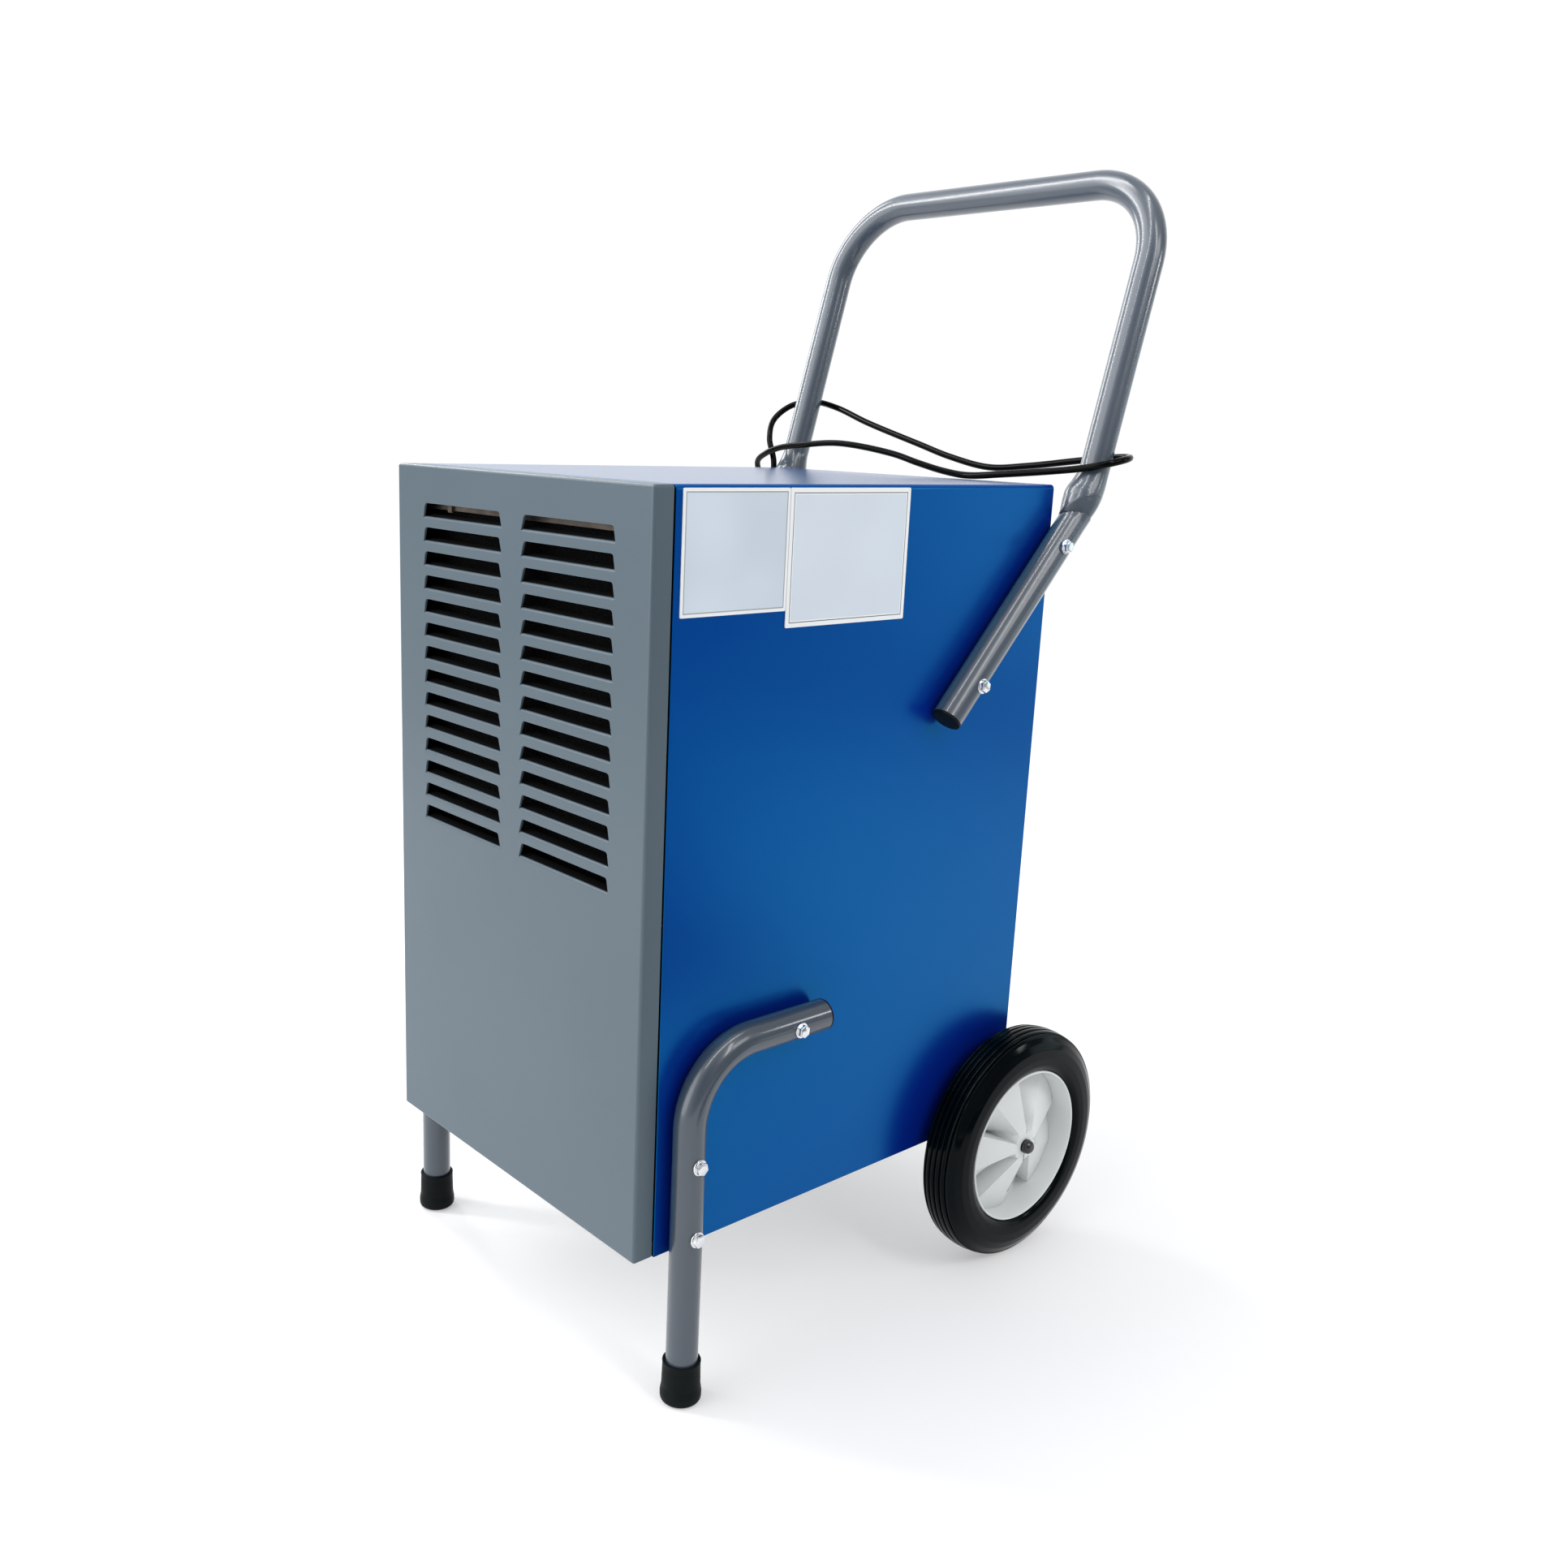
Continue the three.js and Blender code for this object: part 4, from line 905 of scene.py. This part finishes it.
def tyre_shape():
    """A tyre with a slightly crowned tread and five grooves round it."""
    pitch = 5.6
    grooves = [12.2 - pitch * k for k in range(5)]

    def crown(h):
        return TYRE_RADIUS - 1.9 * (h / 13) ** 2

    side = [(73.6, 17), (75.2, 19.3), (79, 21), (86, 21.5), (94, 20.8), (100.5, 18.4), (104.8, 15.6)]
    outer = fillet(side, 7, 5)
    lip = [(1.6, 0), (1.25, 0.12), (0.95, 0.42), (0.75, 1), (0.6, 2.1)]
    tread = []
    for g in grooves:
        for offset, depth in lip + [(-offset, depth) for offset, depth in reversed(lip)]:
            tread.append((crown(g + offset) - depth, g + offset))
        tread.append((crown(g - pitch / 2), g - pitch / 2))
    tread = tread[:-1]
    inner = [(r, -h) for r, h in reversed(outer)]
    return Shape().lathe([*outer, (107.4, 13.8), *tread, (107.6, -13.2), *inner], 144, loop=True)


SPOKE_EDGE, SPOKE_LAND, SPOKE_SLOPE = 32.8, 37.6, 34.4
SPOKE_FLOOR = -14.5


def spoke_height(radius, angle):
    """Height of a spoke's face: a shallow cone, then a slope down to the wheel's floor."""
    reach = max(0, (radius - 15) / (RIM - 15))
    land = 17.5 - 21 * reach
    dip = max(0, (angle - SPOKE_LAND) / SPOKE_SLOPE) * min(1, max(0, (radius - 14) / 5))
    return land + (SPOKE_FLOOR - land) * dip ** 1.05


def hub_shape():
    """A rim, a core and five folded spokes: each face lies flat on its land and slopes down to
    the step at the next one."""
    shape = Shape()
    shape.lathe(fillet([(69.3, -17), (73, -17), (73, 17.6), (72.2, 18.2), (71.2, 18.2), (70.8, 16)],
                       [0.5, 0.5, 0.4, 0.4, 0.4, 0.5], 3, True), 120, loop=True)
    radii = [10, 14, 16, 19, 24, 31, 39, 47, 55, 63, 69.8]
    angles = [SPOKE_LAND * k / 8 for k in range(9)]
    angles += [SPOKE_LAND + SPOKE_SLOPE * k / 8 for k in range(1, 9)]
    for spoke in range(5):
        start = SPOKE_EDGE + 72 * spoke

        def at(radius, angle, height):
            a = radians(start + angle)
            return radius * cos(a), radius * sin(a), height

        for drop in (0, 2.6):
            shape.rings([[at(r, angle, spoke_height(r, angle) - drop) for angle in angles] for r in radii],
                        closed=False, caps=(False, False))
        step = [[at(r, 0, spoke_height(r, 0)), at(r, 0, min(SPOKE_FLOOR, spoke_height(r, 0) - 2.6))]
                for r in radii]
        shape.rings(step, closed=False, caps=(False, False))
    core = [(6.3, -20.5), (15, -20.5), (15, 12), (12, 17.6), (6.3, 17.6)]
    return shape.lathe(fillet(core, [0, 1, 1, 1, 0], 4), 60)


def cap_shape():
    """A domed push-on cap with a small collar, at its distance from the machine's middle."""
    profile = [(0, 218), (6.8, 218), (6.8, 219.6), (6.2, 220), (6.2, 222.3), (4, 224.6), (0, 225)]
    return Shape().lathe(fillet(profile, [0, 0.3, 0.5, 0.3, 1.6, 2.6, 0], 5), 48)


def crease_line_shape():
    """The fine dark line that runs out from the hub along one crease."""
    steps = 15
    line = []
    for k in range(steps + 1):
        radius = 9 + 44 * k / steps
        angle = SPOKE_LAND + 2.6 * sin(pi * k / steps)
        x, y = polar(radius, SPOKE_EDGE + 72 * 4 + angle)
        line.append(Vector((x, y, spoke_height(radius, angle) + 0.05)))
    stations = []
    for k, point in enumerate(line):
        way = line[min(k + 1, steps)] - line[max(k - 1, 0)]
        stations.append((point, way.normalized()))
    return Shape().rings(tube_rings(stations, lambda point, outward: 0.32, 8))


def make_wheels():
    tyre = tyre_shape().mesh("grooved_tyre", [TYRE], 50)
    hub = hub_shape().mesh("spoked_hub", [WHITE_PLASTIC], 12)
    cap = cap_shape().mesh("axle_cap", [CAP_PLASTIC], 40)
    dark_line = crease_line_shape().mesh("hub_dark_line", [BLACK_PLASTIC])
    for name, side in SIDES:
        outward = Matrix.Rotation(side * pi / 2, 4, "Y")
        place = placed(side * WHEEL_X, WHEEL_Y, WHEEL_Z) @ outward
        piece(f"grooved_tyre_{name}", tyre, f"wheel_{name}", [f"tyre_{name}"], place)
        piece(f"spoked_hub_{name}", hub, f"wheel_{name}", [f"wheel_hub_{name}"], place)
        piece(f"hub_dark_line_{name}", dark_line, f"wheel_{name}", (), place)
        piece(f"domed_cap_{name}", cap, "cabinet", [f"axle_cap_{name}"],
              placed(0, WHEEL_Y, WHEEL_Z) @ outward)


make_wheels()


# ---- rear: guard, controls, tank

GUARD_RADIUS, GUARD_RINGS, GUARD_PITCH = 115, 8, 13
GUARD_TABS = [polar(122, angle) for angle in (45, 135, 225, 315)]


def wire_ring(radius, wire):
    """A round wire bent to a ring about Z."""
    return Shape().lathe([(radius + x, y) for x, y in circle(wire, 12)], 72, loop=True)


def fan_guard():
    """Rings of wire on four spokes, with a tab for a screw at each spoke's end."""
    shape = Shape()
    y = REAR + 2
    centre = Matrix.Translation((0, y, FAN_Z)) @ facing(BACKWARD)
    for k in range(GUARD_RINGS):
        shape.join(wire_ring(GUARD_RADIUS - GUARD_PITCH * k, 1.1 if k else 1.5), centre)
    tab = Shape().lathe(fillet([(0, 0), (6, 0), (6, 1.4), (0, 1.4)], [0, 0.3, 0.3, 0], 2), 32)
    for x, z in GUARD_TABS:
        out = Vector((x, 0, z)).normalized()
        stations = [(out * reach + Vector((0, y + 1.2, FAN_Z)), out) for reach in (10, 60, 118)]
        shape.rings(tube_rings(stations, lambda point, outward: 1.5, 12))
        shape.join(tab, Matrix.Translation((x, REAR + 0.2, FAN_Z + z)) @ facing(BACKWARD))
    hub = Shape().lathe(fillet([(0, 0), (13, 0), (13, 1.4), (0, 1.8)], [0, 0.4, 0.4, 0], 2), 40)
    shape.join(hub, centre)
    shown("wire_guard", shape, [ZINC], "cabinet", ["fan_guard"])


def pan_screw():
    """A small cross-headed screw standing on z = 0; its cross is two dark bars, painted shade standing in
    for the recess.
    """
    head = [(0, 0), (3.8, 0), (3.8, 1.1), (2.6, 2.1), (0, 2.4)]
    shape = Shape().lathe(fillet(head, [0, 0.2, 0.8, 1, 0], 4), 32)
    # Painted shade: dark bars laid on the head where the cross recess would lie in shade.
    for turn in (0, 90):
        shaded_cross_bar = Shape().box((-2.1, -0.35, 2.0), (2.1, 0.35, 2.45), 1)
        shape.join(shaded_cross_bar, Matrix.Rotation(radians(turn), 4, "Z"))
    return shape


def rear_screws():
    """Screws round the rear panel, and one on each tab of the fan guard."""
    mesh = pan_screw().mesh("pan_screw", [ZINC, MACHINE_BLACK])
    places = [(x, REAR, z) for x in (-164, 164) for z in (140, 280, 400, 540, 690)]
    places += [(x, REAR, 705) for x in (-60, 60)]
    places += [(x, REAR + 1.6, FAN_Z + z) for x, z in GUARD_TABS]
    for k, place in enumerate(places, 1):
        turn = Matrix.Rotation(radians(23 * k), 4, "Z")
        piece(f"rear_screw_{k}", mesh, "cabinet", (), turned_to(BACKWARD, *place) @ turn)


def dial_marks():
    """Ticks round the humidity knob and plain marks at the switch and the reset button."""
    shape = Shape()
    y0, y1 = REAR + 2.6, REAR + 2.95
    middle = Vector((KNOB_X, 0, CONTROL_Z))
    for k in range(9):
        a = radians(230 - 35 * k)
        out, across = Vector((cos(a), 0, sin(a))), Vector((-sin(a), 0, cos(a)))
        root, reach, wide = (17.8, 20.4, 0.5) if k % 4 == 0 else (17.8, 19.2, 0.3)
        corners = ((root, -wide), (reach, -wide), (reach, wide), (root, wide))
        tick = [middle + out * r + across * w for r, w in corners]
        shape.rings([[p + Vector((0, y, 0)) for p in tick] for y in (y0, y1)])
    for x, z, half, tall in ((96, 453.2, 0.4, 1.8), (62, 447, 2.2, 0.4), (96, 418.6, 2.0, 0.35)):
        shape.box((x - half, y0, z - tall), (x + half, y1, z + tall))
    return shape


def knob_shape():
    """A skirted knob with grip flutes and a raised pointer, about its own axis."""
    profile = fillet([(17, 0), (17, 2.6), (13.2, 4.6), (12.4, 13.4), (11, 14.6), (0, 14.9)],
                     [0, 0.8, 1, 1.4, 1, 0], 4)
    rings = []
    for r, h in profile:
        ring = []
        for t in turns(96):
            flute = 0.45 * (0.5 + 0.5 * cos(16 * t)) if 4.4 < h < 14 and r > 10 else 0
            ring.append(((r - flute) * cos(t), (r - flute) * sin(t), h))
        rings.append(ring)
    shape = Shape().rings(rings, caps=(True, False))
    shape.lathe([(0, -13.5), (3, -13.5), (3, 0), (0, 0)], 20)
    shape.prism(fillet([(-1.1, -10.4), (1.1, -10.4), (1.1, 0), (-1.1, 0)], 0.5, 3, True), 14, 16.3, 1)
    return shape


def tank_handle():
    """A bent rod with a sleeve to hold it by."""
    y, high, low = 171, 300, 264
    half = [(57, y, high), (42, y, high), (42, y, low)]
    corners = half + [(-x, y, z) for x, y, z in reversed(half)]
    stations = bent_path(corners, [5, 8, 8, 5], 9)
    shape = Shape().rings(tube_rings(stations, lambda point, outward: 3, 20))
    grip = [(Vector((x, y, low)), Vector((1, 0, 0))) for x in (-30, -29, -10, 10, 29, 30)]
    sleeve = tube_rings(grip, lambda point, outward: 3.9 if abs(point.x) > 29.5 else 4.6, 24)
    shape.rings(sleeve, slot=1)
    shown("tank_bail", shape, [ZINC, BLACK_PLASTIC], "tank_handle", ["tank_handle"])


def tank_details():
    """Ribs, a level window and its graduations on the tank's rear face."""
    ribs = Shape()
    for x in (-118, -106, -94, 94, 106, 118):
        ribs.box((x - 1.2, TANK_FACE - 0.4, 176), (x + 1.2, TANK_FACE + 1.6, 346))
    rounded(shown("tank_ribs", ribs, [TANK], "tank", ()), 0.8)
    window = Shape()
    window.prism(fillet([(-5, 172), (5, 172), (5, 350), (-5, 350)], 4.9, 6, True), 0, 0.7, 0)
    pane = [(-3.4, 173.6), (3.4, 173.6), (3.4, 348.4), (-3.4, 348.4)]
    window.prism(fillet(pane, 3.3, 6, True), 0.7, 0.9, 1)
    for k in range(9):
        z = 186 + 19 * k
        window.box((-3.2 if k % 2 else -2, z - 0.3, 0.9), (1.6, z + 0.3, 1.1), 0)
    upright = Matrix.Rotation(pi / 2, 4, "X") @ Matrix.Scale(-1, 4, (0, 0, 1))
    shown("tank_window", window, [BLACK_PLASTIC, LABEL_LINE], "tank", (),
          placed(70, TANK_FACE, 0) @ upright)


def make_rear():
    fan_guard()
    rear_screws()
    shown("dial_marks", dial_marks(), [LABEL_WHITE], "cabinet", ())
    shown("fluted_knob", knob_shape(), [BLACK_PLASTIC, LABEL_WHITE], "humidity_knob",
          ["humidity_knob"], turned_to(BACKWARD, KNOB_X, REAR + 4.8, CONTROL_Z))
    tank_handle()
    tank_details()


make_rear()


# ---- behind the louvres

def filter_frame():
    """The filter's upper rail, seen through the top row of louvres, and a guide at its end."""
    shape = Shape()
    shape.box((-148, -270, 680.5), (148, -262.4, 687.5))
    shape.box((-148, -272, 686.5), (148, -262.4, 688))
    shape.box((-112, -273, 679), (-106, -269, 690))
    rounded(shown("filter_rail", shape, [FRAME_BROWN], "cabinet", ()), 0.5)


filter_frame()

# The CAD nodes that are shown as they are: each material's nodes with their edges' rounding.
CAD_FINISHES = (
    (STEEL, {"base_pan": 0.4, "deck": 0.3, "fan_shroud": 0.3, "fan_bracket": 0.6, "tank_cradle": 0.4,
             "control_box": 0.8}),
    (COPPER, {"discharge_line": 0, "suction_line": 0, "liquid_line": 0}),
    (FINS, {"evaporator_coil": 0, "condenser_coil": 0}),
    (MACHINE_BLACK, {"fan_motor": 0.8, "compressor": 1}),
    (BLACK_PLASTIC, {"drip_tray": 0.4, "control_bezel": 1}),
    (WHITE_PLASTIC, {"float_arm": 0.4, "reset_button": 0.5}),
    (ZINC, {"axle": 0, "fan_shaft": 0.4}),
    (GREY, {"rear_panel": 0.4}),
    (FOAM, {"air_filter": 1.5}),
    (ALUMINIUM, {"fan_impeller": 0.5}),
    (TANK, {"water_tank": 1.2}),
    (RED, {"power_switch": 0.8}),
)
for finish, edges in CAD_FINISHES:
    for node_name, edge in edges.items():
        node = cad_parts[node_name]
        node.data.materials.clear()
        node.data.materials.append(finish)
        node.data.shade_smooth()
        node.data.set_sharp_from_angle(angle=radians(35))
        if edge:
            rounded(node, edge)


# ---- light, floor and backdrop

def area_light(name, place, target, size, power, color=(1, 1, 1)):
    """A rectangular light aimed at the target."""
    data = bpy.data.lights.new(name, "AREA")
    data.shape = "RECTANGLE"
    data.size, data.size_y = size
    data.energy = power
    data.color = color
    light = added(name, data)
    light.location = place
    light.rotation_euler = (Vector(target) - Vector(place)).to_track_quat("-Z", "Y").to_euler()
    return light


def make_key():
    """A very broad low key from the front left, even over the whole floor."""
    data = bpy.data.lights.new("key", "SUN")
    data.energy = 1.45
    data.angle = radians(60)
    added("key", data).rotation_euler = Vector((0.35, 0.88, -0.31)).to_track_quat("-Z", "Y").to_euler()


HORIZON, ZENITH, SEEN_WHITE = 0.78, 0.66, 1.05
# Each patch has its direction, the cosines at which it begins and is full, and what it adds.
WORLD_PATCHES = [
    ((-0.74, 0.64, 0.0), 0.2, 0.85, 0.5),
    ((-0.35, -0.93, 0.1), 0.3, 0.9, 0.7),
    ((-0.82, -0.57, 0.15), 0.82, 0.97, -0.95),
    ((0.72, -0.69, 0.1), 0.65, 0.95, -0.52),
    ((0.82, 0.56, -0.05), 0.6, 0.95, -0.5),
]


def make_world():
    """A pale studio, brighter at the rear left and the front left and darker on the right; the
    camera itself sees plain white."""
    world = bpy.data.worlds.new("studio")
    world.use_nodes = True
    tree = world.node_tree
    background = tree.nodes["Background"]
    place = tree.nodes.new("ShaderNodeTexCoord").outputs["Generated"]
    split = tree.nodes.new("ShaderNodeSeparateXYZ")
    tree.links.new(place, split.inputs["Vector"])
    strength = ranged(tree, split.outputs["Z"], HORIZON, ZENITH, 0.0, 0.7)
    for direction, start, end, amount in WORLD_PATCHES:
        toward = tree.nodes.new("ShaderNodeVectorMath")
        toward.operation = "DOT_PRODUCT"
        toward.inputs[1].default_value = Vector(direction).normalized()
        tree.links.new(place, toward.inputs[0])
        patch = ranged(tree, toward.outputs["Value"], 0, amount, start, end)
        total = tree.nodes.new("ShaderNodeMath")
        total.operation = "ADD"
        tree.links.new(strength, total.inputs[0])
        tree.links.new(patch, total.inputs[1])
        strength = total.outputs["Value"]
    seen = tree.nodes.new("ShaderNodeMix")
    tree.links.new(tree.nodes.new("ShaderNodeLightPath").outputs["Is Camera Ray"], seen.inputs[0])
    tree.links.new(strength, seen.inputs[2])
    seen.inputs[3].default_value = SEEN_WHITE
    background.inputs["Color"].default_value = (0.98, 0.99, 1.0, 1)
    tree.links.new(seen.outputs[0], background.inputs["Strength"])
    bpy.context.scene.world = world


FLOOR_RADIUS, FLOOR_DROP = 2600, 0.2


def make_floor():
    """A pale disc just under the feet, which glows a little so that it stays near white."""
    material, tree, shader = new_material("pale_floor")
    tree.links.new(
        blended(tree, ranged(tree, noise(tree, 900), 0, 1), (0.6, 0.6, 0.605), (0.62, 0.62, 0.625)),
        shader.inputs["Base Color"],
    )
    set_inputs(shader, {
        "Roughness": 0.9, "Specular IOR Level": 0.1,
        "Emission Color": (1, 1, 1, 1), "Emission Strength": 0.35,
    })
    rim = [(x, y, -FLOOR_DROP) for x, y in circle(FLOOR_RADIUS, 96)]
    disc = Shape().add(rim, [tuple(range(len(rim)))])
    added("floor", disc.mesh("floor", [material]))


def make_flag():
    """A dark card beside the machine, seen only by the gloss of its side."""
    material, _, shader = new_material("flag_cloth")
    shader.inputs["Base Color"].default_value = (0.02, 0.02, 0.02, 1)
    outline = [(700, -250), (1250, -250), (2000, 900), (1750, 1050), (1050, 500), (700, 420)]
    card = Shape().add([(x, y, 40) for x, y in outline], [tuple(range(len(outline)))])
    flag = added("flag", card.mesh("flag", [material]))
    flag.visible_camera = False
    flag.visible_diffuse = False
    flag.visible_shadow = False


make_world()
make_floor()
make_flag()
make_key()
area_light("strip", (-1.55, -1.3, 2.93), (0, 0, 0.7), (0.26, 3.2), 52)
area_light("right_strip", (2.0, -0.1, 2.4), (0.1, 0, 0.5), (0.3, 1.6), 13)
area_light("right_soft", (2.4, 0.7, 2.1), (0.1, 0, 0.3), (0.9, 0.9), 10)
area_light("rear_right", (1.8, 1.6, 1.3), (0.15, 0, 0.4), (0.3, 0.3), 4)
area_light("low_right", (1.9, 2.9, 0.55), (0.175, 0, 0.45), (1.4, 1.0), 5, (0.7, 0.92, 1))
# For gloss alone: fine highlights along the tubes and the tyres.
sparkle = area_light("sparkle", (0.55, -0.5, 2.6), (0.55, 0.4, 0.3), (0.06, 2.6), 16)
sparkle.visible_diffuse = False
area_light("left_soft", (-2.4, 0.0, 1.95), (0, -0.28, 0.717), (0.5, 1.6), 22)
bpy.context.scene.view_settings.view_transform = "Standard"
